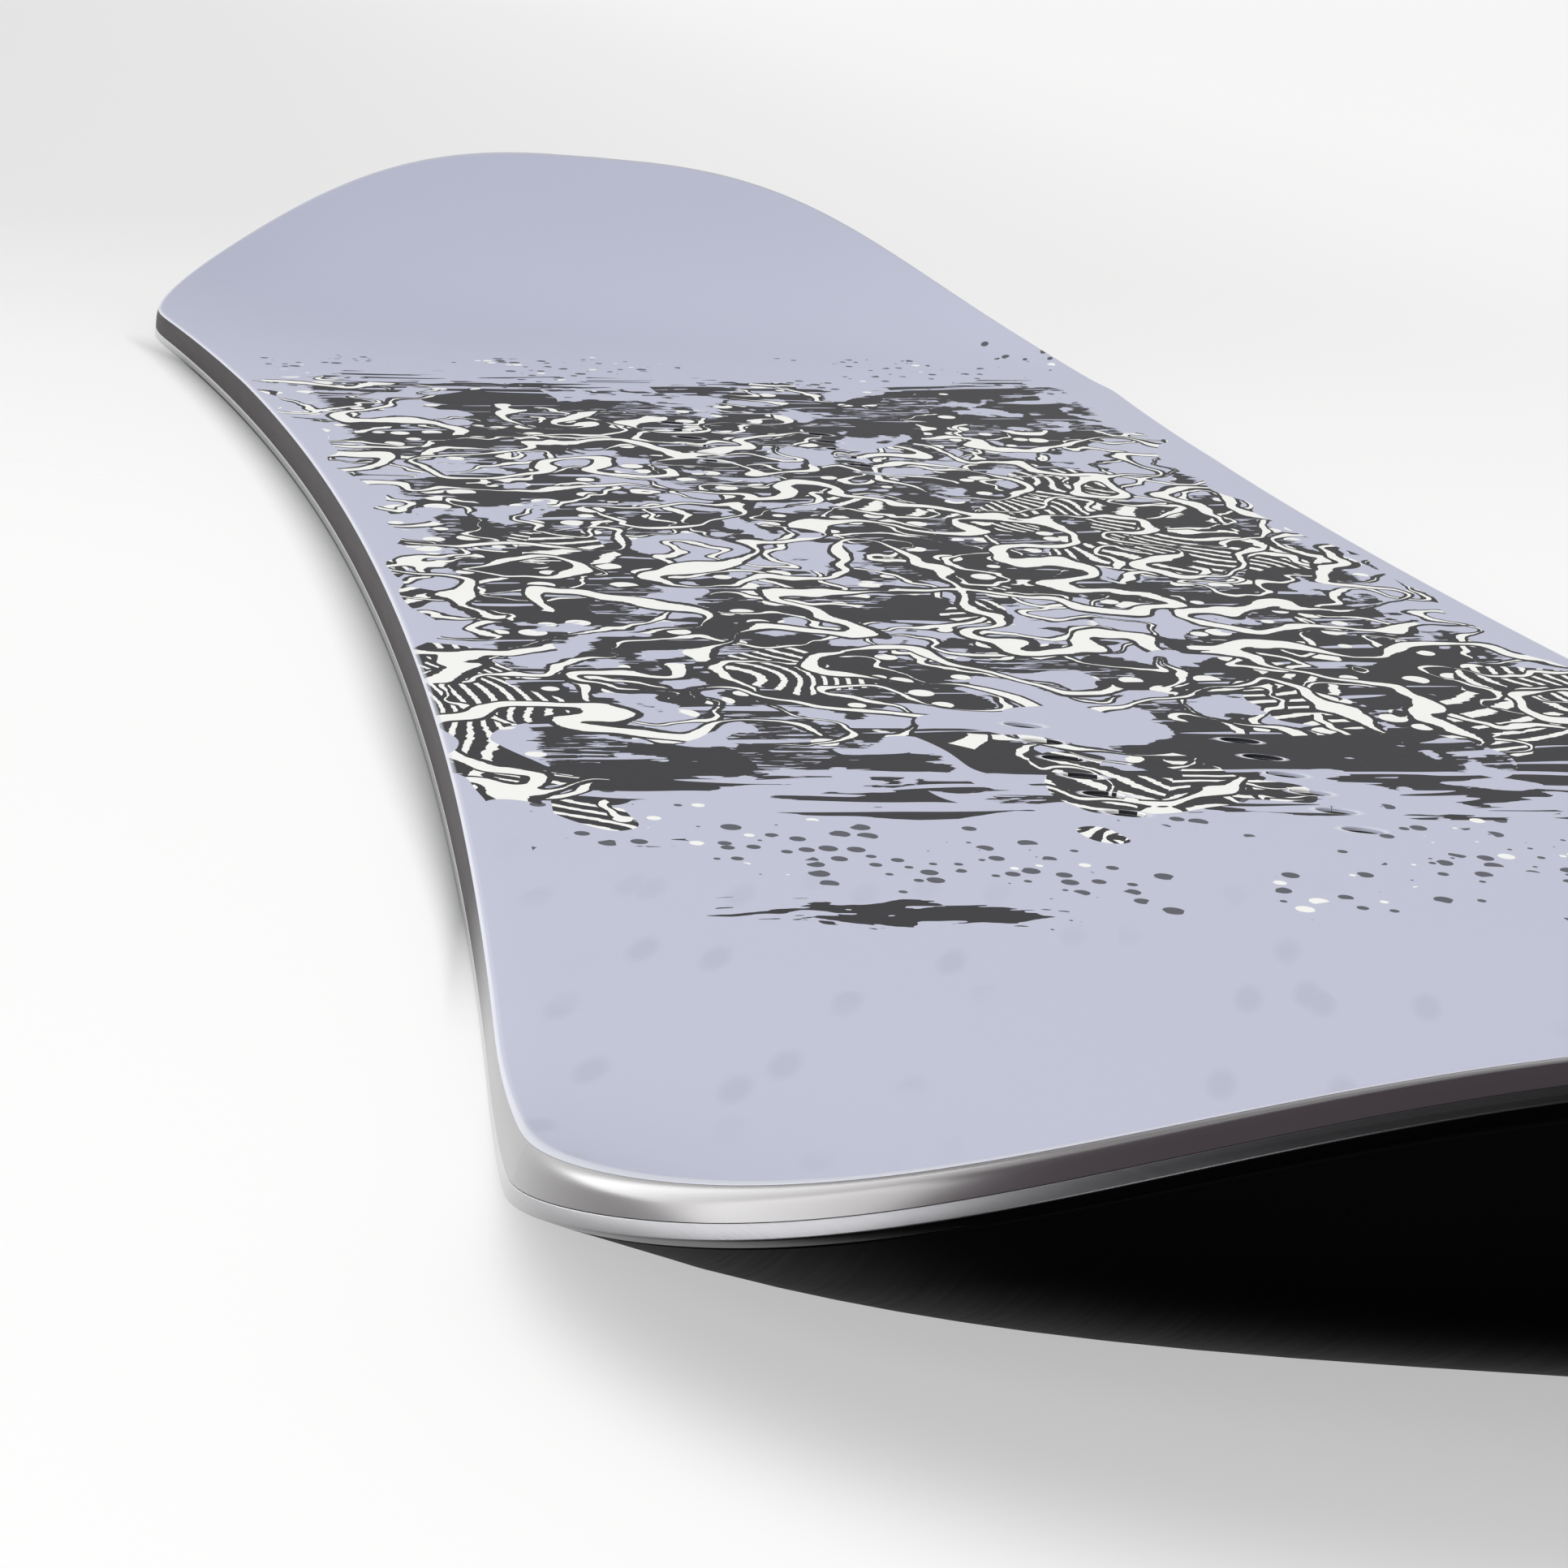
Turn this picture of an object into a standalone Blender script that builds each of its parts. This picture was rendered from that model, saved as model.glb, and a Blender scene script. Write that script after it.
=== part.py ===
"""A bare all-mountain snowboard, built as the sandwich that it is pressed from.

Metres, +Z up. The board lies along X with its tail at -X, its base on z = 0 and
its topsheet up. The origin is under the middle of the board, on the floor.
"""

import math

import bmesh
import bpy
from mathutils import Vector

# Outline, seen from above
LENGTH = 1.550
WAIST_WIDTH = 0.252
SIDECUT_DEPTH = 0.0226
NOSE_ROUND_LENGTH = 0.207
TAIL_ROUND_LENGTH = 0.150
END_BLUNTNESS = 2.64
SHOULDER_FULLNESS = 2.90

# Profile, seen from the side
NOSE_KICK_LENGTH = 0.173
NOSE_RISE = 0.0555
NOSE_KICK_POWER = 3.5
TAIL_KICK_LENGTH = 0.228
TAIL_RISE = 0.0567
TAIL_KICK_POWER = 5.0
SPOON_LIFT = 0.0155
SPOON_POWER = 5.0
MIDDLE_THICKNESS = 0.0094
TIP_THICKNESS = 0.0070
TAPER_LENGTH = 0.425

# Layers and rim pieces
LAYER_GAP = 0.0003
BASE_THICKNESS = 0.0012
LAMINATE_THICKNESS = 0.0006
TOPSHEET_THICKNESS = 0.0007
TOPSHEET_ROLL_WIDTH = 0.0020
TOPSHEET_ROLL_DROP = 0.0010
EDGE_WIDTH = 0.0020
EDGE_HEIGHT = 0.0020
EDGE_FLANGE_WIDTH = 0.0050
EDGE_FLANGE_THICKNESS = 0.0004
EDGE_JOINT_GAP = 0.0004
FOIL_WIDTH = 0.0070
FOIL_THICKNESS = 0.0003
SIDEWALL_WIDTH = 0.0090
SIDEWALL_LIP_WIDTH = 0.0015
STEP_WIDTH = 0.0002
LAMINATE_DRAPE_WIDTH = 0.0040

# Wood core
CORE_HALF_LENGTH = 0.640
CENTRE_STRIP_WIDTH = 0.020
INSERT_STRIP_WIDTH = 0.020
MIDDLE_STRIP_WIDTH = 0.025

# Binding inserts
STANCE_WIDTH = 0.560
INSERTS_PER_ROW = 6
INSERT_PITCH = 0.020
INSERT_FLANGE_RADIUS = 0.0080
INSERT_FLANGE_THICKNESS = 0.0010
INSERT_BARREL_RADIUS = 0.0046
INSERT_BORE_RADIUS = 0.0025
INSERT_FLOOR_THICKNESS = 0.0012
TOP_HOLE_RADIUS = 0.0035

# How finely the curves are cut into flat faces
MIDDLE_STATIONS = 12
END_STATIONS = 16
KICK_STATIONS = 4
ROLL_STEPS = 3
INNER_SHARES = (0.9, 0.78, 0.6, 0.35, 0.0)
ROUND_SIDES = 12
SMOOTH_ANGLE = math.radians(30)
SLOPE_STEP = 1e-5
MERGE_DISTANCE = 1e-6

HALF_LENGTH = LENGTH / 2


def end_sizes(x):
    """Round length, kick length, rise and kick power of the end that x lies in."""
    if x > 0:
        return NOSE_ROUND_LENGTH, NOSE_KICK_LENGTH, NOSE_RISE, NOSE_KICK_POWER
    return TAIL_ROUND_LENGTH, TAIL_KICK_LENGTH, TAIL_RISE, TAIL_KICK_POWER


def half_width(x):
    """Half the board's width: a sidecut curve, closed at each end by a superellipse."""
    round_length = end_sizes(x)[0]
    straight = HALF_LENGTH - round_length
    along = abs(x)
    if along <= straight:
        return WAIST_WIDTH / 2 + SIDECUT_DEPTH * (along / straight) ** 2
    u = min((along - straight) / round_length, 1.0)
    flare = 2 * SIDECUT_DEPTH / straight * round_length * u * (1 - u) ** 2
    widest = WAIST_WIDTH / 2 + SIDECUT_DEPTH + flare
    return widest * max(1 - u**END_BLUNTNESS, 0.0) ** (1 / SHOULDER_FULLNESS)


def rim_normal(x):
    """Outward direction of the left rim in plan."""
    side = math.copysign(1.0, x)
    room = HALF_LENGTH - abs(x)
    if room < SLOPE_STEP:
        return side, 0.0
    step = min(SLOPE_STEP, room / 2)
    slope = (half_width(x + step) - half_width(x - step)) / (2 * step)
    size = math.hypot(slope, 1.0)
    return -slope / size, 1 / size


def rim_inset(x, inset):
    """The point that lies inset from the left rim at x, measured square to the rim."""
    along, out = rim_normal(x)
    return x - inset * along, half_width(x) - inset * out


def base_height(x, y):
    """Height of the base: flat between the kicks, with slightly spooned ends."""
    kick_length, rise, power = end_sizes(x)[1:]
    k = max((abs(x) - (HALF_LENGTH - kick_length)) / kick_length, 0.0)
    ease = min(k, 1.0)
    ease = ease * ease * (3 - 2 * ease)
    widest = WAIST_WIDTH / 2 + SIDECUT_DEPTH
    return rise * k**power + SPOON_LIFT * (abs(y) / widest) ** SPOON_POWER * ease


def place(x, y, level):
    """The point at this level above the base's surface, measured square to it."""
    slope_x = (base_height(x + SLOPE_STEP, y) - base_height(x - SLOPE_STEP, y)) / (2 * SLOPE_STEP)
    slope_y = (base_height(x, y + SLOPE_STEP) - base_height(x, y - SLOPE_STEP)) / (2 * SLOPE_STEP)
    up = Vector((-slope_x, -slope_y, 1.0)).normalized()
    return Vector((x, y, base_height(x, y))) + up * level


def thickness(x):
    share = min(max((HALF_LENGTH - abs(x)) / TAPER_LENGTH, 0.0), 1.0)
    return TIP_THICKNESS + (MIDDLE_THICKNESS - TIP_THICKNESS) * share


def above_base(height):
    """A level that is measured up from the base."""
    return lambda x, inset: height


def below_top(depth):
    """A level that is measured down from the top, which rolls over at the rim."""

    def level(x, inset):
        roll = max(1 - inset / TOPSHEET_ROLL_WIDTH, 0.0)
        return thickness(x) - depth - TOPSHEET_ROLL_DROP * roll * roll

    return level


# Levels of the stack, from the base up
FLANGE_TOP = BASE_THICKNESS + LAYER_GAP + EDGE_FLANGE_THICKNESS
FOIL_LOW = FLANGE_TOP + LAYER_GAP
FOIL_TOP = FOIL_LOW + FOIL_THICKNESS
RIM_LAMINATE_LOW = FOIL_TOP + LAYER_GAP
RIM_LAMINATE_TOP = RIM_LAMINATE_LOW + LAMINATE_THICKNESS
LAMINATE_LOW = BASE_THICKNESS + LAYER_GAP
LAMINATE_TOP = LAMINATE_LOW + LAMINATE_THICKNESS
CORE_LOW = LAMINATE_TOP + LAYER_GAP
RIM_CORE_LOW = RIM_LAMINATE_TOP + LAYER_GAP
LIP_LOW = EDGE_HEIGHT + LAYER_GAP

# Depths of the stack, from the top down
UPPER_LAMINATE_TOP = TOPSHEET_THICKNESS + LAYER_GAP
UPPER_LAMINATE_LOW = UPPER_LAMINATE_TOP + LAMINATE_THICKNESS
CORE_TOP = UPPER_LAMINATE_LOW + LAYER_GAP

# Insets from the rim, from outside in
LAMINATE_INSET = SIDEWALL_LIP_WIDTH + STEP_WIDTH + LAYER_GAP
FLANGE_END = EDGE_WIDTH + EDGE_FLANGE_WIDTH
BASE_INSET = EDGE_WIDTH + STEP_WIDTH + LAYER_GAP
CORE_INSET = SIDEWALL_WIDTH + LAYER_GAP
DRAPE_END = CORE_INSET + LAMINATE_DRAPE_WIDTH
CORE_FLAT_INSET = DRAPE_END + LAYER_GAP


def stations(first, last):
    """Places along the board where the pieces are cut across, close together in the round ends."""
    places = {first, last, CORE_HALF_LENGTH, -CORE_HALF_LENGTH}
    nose_start = HALF_LENGTH - NOSE_ROUND_LENGTH
    tail_start = TAIL_ROUND_LENGTH - HALF_LENGTH
    for i in range(MIDDLE_STATIONS + 1):
        places.add(tail_start + (nose_start - tail_start) * i / MIDDLE_STATIONS)
    for i in range(1, END_STATIONS + 1):
        share = math.sin(math.pi / 2 * i / END_STATIONS) ** (2 / END_BLUNTNESS)
        places.add(nose_start + NOSE_ROUND_LENGTH * share)
        places.add(tail_start - TAIL_ROUND_LENGTH * share)
    for i in range(1, KICK_STATIONS + 1):
        share = i / KICK_STATIONS
        if NOSE_KICK_LENGTH > NOSE_ROUND_LENGTH:
            places.add(nose_start - (NOSE_KICK_LENGTH - NOSE_ROUND_LENGTH) * share)
        if TAIL_KICK_LENGTH > TAIL_ROUND_LENGTH:
            places.add(tail_start + (TAIL_KICK_LENGTH - TAIL_ROUND_LENGTH) * share)
    spread = LENGTH / 1000
    kept = [first]
    for x in sorted(places):
        if first + spread < x < last - spread:
            kept.append(x)
    return kept + [last]


def at_inset(inset, low, high):
    """A column that runs along the rim, given by its inset, its lower and its upper level."""

    def column(x):
        px, py = rim_inset(x, inset)
        return px, py, low(px, inset), high(px, inset)

    return column


def inner_columns(low, high):
    """Columns of a sheet between its rim and the centre line, the same in every layer."""

    def at_share(share):
        def column(x):
            px, py = rim_inset(x, CORE_FLAT_INSET)
            return px, py * share, low(px, CORE_FLAT_INSET), high(px, CORE_FLAT_INSET)

        return column

    return [at_share(share) for share in INNER_SHARES]


def at_side(side, low, high):
    """A straight column at a fixed distance from the centre line."""

    def column(x):
        px = rim_inset(x, CORE_FLAT_INSET)[0]
        return px, side, low(px, CORE_FLAT_INSET), high(px, CORE_FLAT_INSET)

    return column


def other_side(columns):
    """The same columns on the right half, so that a section still runs from left to right."""

    def mirrored(column):
        def other(x):
            px, py, low, high = column(x)
            return px, -py, low, high

        return other

    return [mirrored(column) for column in reversed(columns)]


def across(columns):
    """Columns from the left rim to the right one, from those of the left half."""
    return columns + other_side(columns[:-1])


def make_material(name, color, roughness, metallic=0.0):
    material = bpy.data.materials.new(name)
    material.use_nodes = True
    shader = material.node_tree.nodes["Principled BSDF"]
    shader.inputs["Base Color"].default_value = (*color, 1.0)
    shader.inputs["Roughness"].default_value = roughness
    shader.inputs["Metallic"].default_value = metallic
    return material


def add_object(name, mesh, collection, material):
    mesh.materials.append(material)
    obj = bpy.data.objects.new(name, mesh)
    collection.objects.link(obj)
    obj.parent = board
    return obj


def shade_smooth(mesh):
    mesh.shade_smooth()
    mesh.set_sharp_from_angle(angle=SMOOTH_ANGLE)


def at_very_end(x):
    return HALF_LENGTH - abs(x) < SLOPE_STEP


def loft(name, places, columns, material, joint_gap=0.0):
    """A closed solid through the columns at each place. At the board's very ends the columns
    of the two halves meet on the centre line, or stay half the joint gap away from it. All
    layers split their faces along the same diagonals, so that they stay parallel."""
    bm = bmesh.new()
    rows = []
    for x in places:
        row = []
        for column in columns:
            px, py, low, high = column(x)
            if at_very_end(x):
                py = math.copysign(joint_gap / 2, py) if joint_gap else 0.0
            row.append((bm.verts.new(place(px, py, low)), bm.verts.new(place(px, py, high))))
        rows.append(row)
    for before, after in zip(rows, rows[1:]):
        for j in range(len(columns) - 1):
            bm.faces.new((before[j][0], after[j][0], after[j + 1][0], before[j + 1][0]))
            bm.faces.new((before[j][1], before[j + 1][1], after[j + 1][1], after[j][1]))
        bm.faces.new((before[0][1], after[0][1], after[0][0], before[0][0]))
        bm.faces.new((before[-1][0], after[-1][0], after[-1][1], before[-1][1]))
    for x, row, turn in ((places[0], rows[0], 1), (places[-1], rows[-1], -1)):
        if at_very_end(x) and not joint_gap:
            continue
        for j in range(len(columns) - 1):
            corners = (row[j][0], row[j + 1][0], row[j + 1][1], row[j][1])
            bm.faces.new(corners[::turn])
    bmesh.ops.triangulate(bm, faces=bm.faces, quad_method="FIXED")
    bmesh.ops.remove_doubles(bm, verts=bm.verts, dist=MERGE_DISTANCE)
    bmesh.ops.dissolve_degenerate(bm, edges=bm.edges, dist=MERGE_DISTANCE)
    bmesh.ops.recalc_face_normals(bm, faces=bm.faces)
    mesh = bpy.data.meshes.new(name)
    bm.to_mesh(mesh)
    bm.free()
    shade_smooth(mesh)
    return add_object(name, mesh, parts, material)


def cut(obj, cutter):
    modifier = obj.modifiers.new("Insert holes", "BOOLEAN")
    modifier.operation = "DIFFERENCE"
    modifier.solver = "EXACT"
    modifier.object = cutter


def insert_centres(side):
    """Centres of the inserts in the left (1) or the right (-1) row, tail pack first."""
    row = side * (CENTRE_STRIP_WIDTH + INSERT_STRIP_WIDTH) / 2
    centres = []
    for pack in (-1, 1):
        for i in range(INSERTS_PER_ROW):
            offset = (i - (INSERTS_PER_ROW - 1) / 2) * INSERT_PITCH
            centres.append((pack * STANCE_WIDTH / 2 + offset, row))
    return centres


def turn(bm, profile, centre):
    """Adds the solid that this profile sweeps round an upright axis at the centre."""
    verts = [bm.verts.new((centre[0] + r, centre[1], z)) for r, z in profile]
    edges = [bm.edges.new(pair) for pair in zip(verts, verts[1:])]
    bmesh.ops.spin(
        bm,
        geom=verts + edges,
        cent=(centre[0], centre[1], 0.0),
        axis=(0.0, 0.0, 1.0),
        angle=2 * math.pi,
        steps=ROUND_SIDES,
        use_merge=True,
    )
    bmesh.ops.remove_doubles(bm, verts=bm.verts, dist=MERGE_DISTANCE)
    bmesh.ops.recalc_face_normals(bm, faces=bm.faces)


def round_cutter(name, profile, centres):
    """A hidden tool that cuts one round hole of this profile at each centre."""
    bm = bmesh.new()
    for centre in centres:
        turn(bm, profile, centre)
    mesh = bpy.data.meshes.new(name)
    bm.to_mesh(mesh)
    bm.free()
    obj = bpy.data.objects.new(name, mesh)
    cutters.objects.link(obj)
    obj.parent = board
    obj.hide_render = True
    obj.display_type = "WIRE"
    return obj


def top_hole_cutter():
    """Plain holes through the topsheet and the upper laminate, over every insert."""
    above = 2 * MIDDLE_THICKNESS
    profile = (
        (0.0, CORE_LOW),
        (TOP_HOLE_RADIUS, CORE_LOW),
        (TOP_HOLE_RADIUS, above),
        (0.0, above),
    )
    return round_cutter("top_hole_cutter", profile, insert_centres(1) + insert_centres(-1))


def insert_seat_cutter(side, mark):
    """The stepped holes that one row of inserts is pressed into from below."""
    above = 2 * MIDDLE_THICKNESS
    step = CORE_LOW + INSERT_FLANGE_THICKNESS + LAYER_GAP
    profile = (
        (0.0, above),
        (INSERT_BARREL_RADIUS + LAYER_GAP, above),
        (INSERT_BARREL_RADIUS + LAYER_GAP, step),
        (INSERT_FLANGE_RADIUS + LAYER_GAP, step),
        (INSERT_FLANGE_RADIUS + LAYER_GAP, 0.0),
        (0.0, 0.0),
    )
    return round_cutter(f"insert_seats_{mark}", profile, insert_centres(side))


def insert_mesh():
    """A flanged M6 insert: a blind threaded barrel on a wide foot, with its axis on the origin."""
    bm = bmesh.new()
    top = MIDDLE_THICKNESS - CORE_TOP
    flange_top = CORE_LOW + INSERT_FLANGE_THICKNESS
    profile = (
        (0.0, CORE_LOW + INSERT_FLOOR_THICKNESS),
        (INSERT_BORE_RADIUS, CORE_LOW + INSERT_FLOOR_THICKNESS),
        (INSERT_BORE_RADIUS, top),
        (INSERT_BARREL_RADIUS, top),
        (INSERT_BARREL_RADIUS, flange_top),
        (INSERT_FLANGE_RADIUS, flange_top),
        (INSERT_FLANGE_RADIUS, CORE_LOW),
        (0.0, CORE_LOW),
    )
    turn(bm, profile, (0.0, 0.0))
    mesh = bpy.data.meshes.new("binding_insert")
    bm.to_mesh(mesh)
    bm.free()
    shade_smooth(mesh)
    return mesh


def build_base():
    """Black sintered polyethylene running base, inside the steel edges."""
    material = make_material("base_polyethylene", (0.012, 0.012, 0.013), 0.28)
    low, high = above_base(0.0), above_base(BASE_THICKNESS)
    columns = []
    for inset in (BASE_INSET, FLANGE_END, CORE_FLAT_INSET):
        columns.append(at_inset(inset, low, high))
    columns += inner_columns(low, high)
    loft("base", stations(-HALF_LENGTH, HALF_LENGTH), across(columns), material)


def build_edges():
    """Two steel edges that run round the board and meet at the middle of nose and tail."""
    material = make_material("edge_steel", (0.62, 0.62, 0.63), 0.25, 1.0)
    flange_low = above_base(BASE_THICKNESS + LAYER_GAP)
    flange_top = above_base(FLANGE_TOP)
    columns = [
        at_inset(0.0, above_base(0.0), above_base(EDGE_HEIGHT)),
        at_inset(EDGE_WIDTH, above_base(0.0), above_base(EDGE_HEIGHT)),
        at_inset(EDGE_WIDTH + STEP_WIDTH, flange_low, flange_top),
        at_inset(FLANGE_END, flange_low, flange_top),
    ]
    places = stations(-HALF_LENGTH, HALF_LENGTH)
    loft("steel_edge_left", places, columns, material, EDGE_JOINT_GAP)
    loft("steel_edge_right", places, other_side(columns), material, EDGE_JOINT_GAP)


def build_foils():
    """Thin rubber strips on the edges' flanges, which bond them and damp their ringing."""
    material = make_material("damping_rubber", (0.03, 0.03, 0.03), 0.8)
    low, high = above_base(FOIL_LOW), above_base(FOIL_TOP)
    columns = [
        at_inset(LAMINATE_INSET, low, high),
        at_inset(LAMINATE_INSET + FOIL_WIDTH, low, high),
    ]
    places = stations(-HALF_LENGTH, HALF_LENGTH)
    loft("edge_foil_left", places, columns, material, EDGE_JOINT_GAP)
    loft("edge_foil_right", places, other_side(columns), material, EDGE_JOINT_GAP)


def build_laminates():
    """Glass-fibre sheets under and over the core. The lower one drapes over the edge foils."""
    material = make_material("glass_laminate", (0.62, 0.66, 0.55), 0.45)
    rim_low, rim_top = above_base(RIM_LAMINATE_LOW), above_base(RIM_LAMINATE_TOP)
    low, high = above_base(LAMINATE_LOW), above_base(LAMINATE_TOP)
    columns = [
        at_inset(LAMINATE_INSET, rim_low, rim_top),
        at_inset(CORE_INSET, rim_low, rim_top),
        at_inset(DRAPE_END, low, high),
    ]
    columns += inner_columns(low, high)
    places = stations(-HALF_LENGTH, HALF_LENGTH)
    loft("lower_laminate", places, across(columns), material)
    low, high = below_top(UPPER_LAMINATE_LOW), below_top(UPPER_LAMINATE_TOP)
    columns = [
        at_inset(LAMINATE_INSET, low, high),
        at_inset(max(TOPSHEET_ROLL_WIDTH, LAMINATE_INSET), low, high),
        at_inset(CORE_FLAT_INSET, low, high),
    ]
    columns += inner_columns(low, high)
    upper = loft("upper_laminate", places, across(columns), material)
    cut(upper, top_holes)


def build_topsheet():
    """Lavender plastic topsheet, rolled over at the rim and pierced over the inserts."""
    material = make_material("topsheet_plastic", (0.56, 0.57, 0.68), 0.35)
    low, high = below_top(TOPSHEET_THICKNESS), below_top(0.0)
    columns = []
    for i in range(ROLL_STEPS + 1):
        columns.append(at_inset(TOPSHEET_ROLL_WIDTH * i / ROLL_STEPS, low, high))
    columns.append(at_inset(CORE_FLAT_INSET, low, high))
    columns += inner_columns(low, high)
    sheet = loft("topsheet", stations(-HALF_LENGTH, HALF_LENGTH), across(columns), material)
    cut(sheet, top_holes)


def build_sidewalls():
    """Dark plastic sidewalls, with a lip that closes the ends of the laminates."""
    material = make_material("sidewall_plastic", (0.055, 0.048, 0.052), 0.3)
    lip_low, lip_top = above_base(LIP_LOW), below_top(UPPER_LAMINATE_TOP)
    low, high = above_base(RIM_CORE_LOW), below_top(CORE_TOP)
    columns = [
        at_inset(0.0, lip_low, lip_top),
        at_inset(SIDEWALL_LIP_WIDTH, lip_low, lip_top),
        at_inset(SIDEWALL_LIP_WIDTH + STEP_WIDTH, low, high),
        at_inset(SIDEWALL_WIDTH, low, high),
    ]
    end = CORE_HALF_LENGTH - LAYER_GAP
    loft("sidewall_left", stations(-end, end), columns, material)
    loft("sidewall_right", stations(-end, end), other_side(columns), material)


def build_spacers():
    """Plastic nose and tail spacers, which carry on from the core and the sidewalls."""
    material = make_material("spacer_plastic", (0.06, 0.053, 0.057), 0.3)
    lip_low, lip_top = above_base(LIP_LOW), below_top(UPPER_LAMINATE_TOP)
    rim_low, low, high = above_base(RIM_CORE_LOW), above_base(CORE_LOW), below_top(CORE_TOP)
    columns = [
        at_inset(0.0, lip_low, lip_top),
        at_inset(SIDEWALL_LIP_WIDTH, lip_low, lip_top),
        at_inset(SIDEWALL_LIP_WIDTH + STEP_WIDTH, rim_low, high),
        at_inset(CORE_INSET, rim_low, high),
        at_inset(CORE_FLAT_INSET, low, high),
    ]
    columns += inner_columns(low, high)
    loft("nose_spacer", stations(CORE_HALF_LENGTH, HALF_LENGTH), across(columns), material)
    loft("tail_spacer", stations(-HALF_LENGTH, -CORE_HALF_LENGTH), across(columns), material)


def build_core():
    """Nine wood strips, edge to edge: hardwood under the inserts, poplar elsewhere."""
    poplar = make_material("core_poplar", (0.72, 0.56, 0.36), 0.7)
    beech = make_material("core_beech", (0.55, 0.36, 0.2), 0.65)
    low, high = above_base(CORE_LOW), below_top(CORE_TOP)
    end = CORE_HALF_LENGTH - LAYER_GAP
    places = stations(-end, end)
    half = LAYER_GAP / 2
    bounds = [CENTRE_STRIP_WIDTH / 2]
    for width in (INSERT_STRIP_WIDTH, MIDDLE_STRIP_WIDTH, MIDDLE_STRIP_WIDTH):
        bounds.append(bounds[-1] + width)
    centre = [at_side(bounds[0] - half, low, high), at_side(half - bounds[0], low, high)]
    loft("core_strip_centre", places, centre, poplar)
    side_low = above_base(RIM_CORE_LOW)
    side_columns = [
        at_inset(CORE_INSET, side_low, high),
        at_inset(CORE_FLAT_INSET, low, high),
        *inner_columns(low, high)[:2],
        at_side(bounds[-1] + half, low, high),
    ]
    for side, mark in ((1, "left"), (-1, "right")):
        for number, (inner, outer) in enumerate(zip(bounds, bounds[1:])):
            columns = [at_side(outer - half, low, high), at_side(inner + half, low, high)]
            if side < 0:
                columns = other_side(columns)
            if number == 0:
                strip = loft(f"core_insert_strip_{mark}", places, columns, beech)
                cut(strip, insert_seat_cutter(side, mark))
            else:
                loft(f"core_middle_strip_{mark}_{number}", places, columns, poplar)
        columns = side_columns if side > 0 else other_side(side_columns)
        loft(f"core_side_strip_{mark}", places, columns, poplar)


def build_inserts():
    """Twenty-four flanged M6 inserts in two packs, each held by its foot under the core."""
    material = make_material("insert_steel", (0.5, 0.5, 0.5), 0.35, 1.0)
    mesh = insert_mesh()
    mesh.materials.append(material)
    for side, mark in ((1, "left"), (-1, "right")):
        for i, spot in enumerate(insert_centres(side)):
            pack = "rear" if spot[0] < 0 else "front"
            number = i % INSERTS_PER_ROW + 1
            obj = bpy.data.objects.new(f"insert_{pack}_{mark}_{number}", mesh)
            parts.objects.link(obj)
            obj.parent = board
            obj.location = (spot[0], spot[1], 0.0)


for old in list(bpy.data.objects):
    bpy.data.objects.remove(old)

parts = bpy.data.collections.new("snowboard")
cutters = bpy.data.collections.new("snowboard_cutters")
bpy.context.scene.collection.children.link(parts)
bpy.context.scene.collection.children.link(cutters)
board = bpy.data.objects.new("board_frame", None)
parts.objects.link(board)

top_holes = top_hole_cutter()
build_base()
build_edges()
build_foils()
build_laminates()
build_topsheet()
build_sidewalls()
build_spacers()
build_core()
build_inserts()
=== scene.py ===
"""The looks of a bare all-mountain snowboard, layer by layer in the order it is pressed."""

import math

import bmesh
import bpy
import numpy as np
from mathutils import Matrix, Vector


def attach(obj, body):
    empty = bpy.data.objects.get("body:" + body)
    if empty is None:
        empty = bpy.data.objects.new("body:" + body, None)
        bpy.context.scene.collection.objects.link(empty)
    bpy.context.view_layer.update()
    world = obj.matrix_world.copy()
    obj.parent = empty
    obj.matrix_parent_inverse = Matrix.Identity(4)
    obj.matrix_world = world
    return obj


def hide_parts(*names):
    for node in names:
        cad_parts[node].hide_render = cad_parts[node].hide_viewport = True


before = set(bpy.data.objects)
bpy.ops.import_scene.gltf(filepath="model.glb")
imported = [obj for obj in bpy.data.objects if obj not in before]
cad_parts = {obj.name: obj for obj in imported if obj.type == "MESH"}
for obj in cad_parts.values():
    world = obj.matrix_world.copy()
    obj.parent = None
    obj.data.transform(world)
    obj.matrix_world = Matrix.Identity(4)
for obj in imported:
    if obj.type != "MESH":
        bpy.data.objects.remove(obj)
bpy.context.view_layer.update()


# Running base. A sheet of black sintered polyethylene, cut to the outline less the steel edges
# and glued under the lower laminate. Its underside is stone ground along the board and waxed.

BOARD_LENGTH = 1.550
HALF_LENGTH = BOARD_LENGTH / 2
WAIST_WIDTH = 0.252
SIDECUT_DEPTH = 0.0226
END_BLUNTNESS = 2.64
SHOULDER_FULLNESS = 2.90
NOSE = {"round": 0.207, "kick": 0.173, "rise": 0.0555, "power": 3.5}
TAIL = {"round": 0.150, "kick": 0.228, "rise": 0.0567, "power": 5.0}
SPOON_LIFT = 0.0155
SPOON_POWER = 5.0
WIDEST = WAIST_WIDTH / 2 + SIDECUT_DEPTH
FLAT_INSET = 0.0139
OUTLINE_CLEARANCE = 0.00012
BASE_THICKNESS = 0.0012
BASE_INSET = 0.0021
BASE_CHAMFER = 0.00015
MIDDLE_STATIONS = 120
END_STATIONS = 64
CLOSEST_STATIONS = 0.0002
SHEET_COLUMNS = (0.95, 0.91, 0.87, 0.82, 0.77, 0.71, 0.64, 0.56, 0.46, 0.32, 0.16, 0.0)
TIP_ROOM = 0.000001
SLOPE_SAMPLE = 0.00001
MERGE_DISTANCE = 0.000002
CREASE = math.radians(35)


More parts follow.
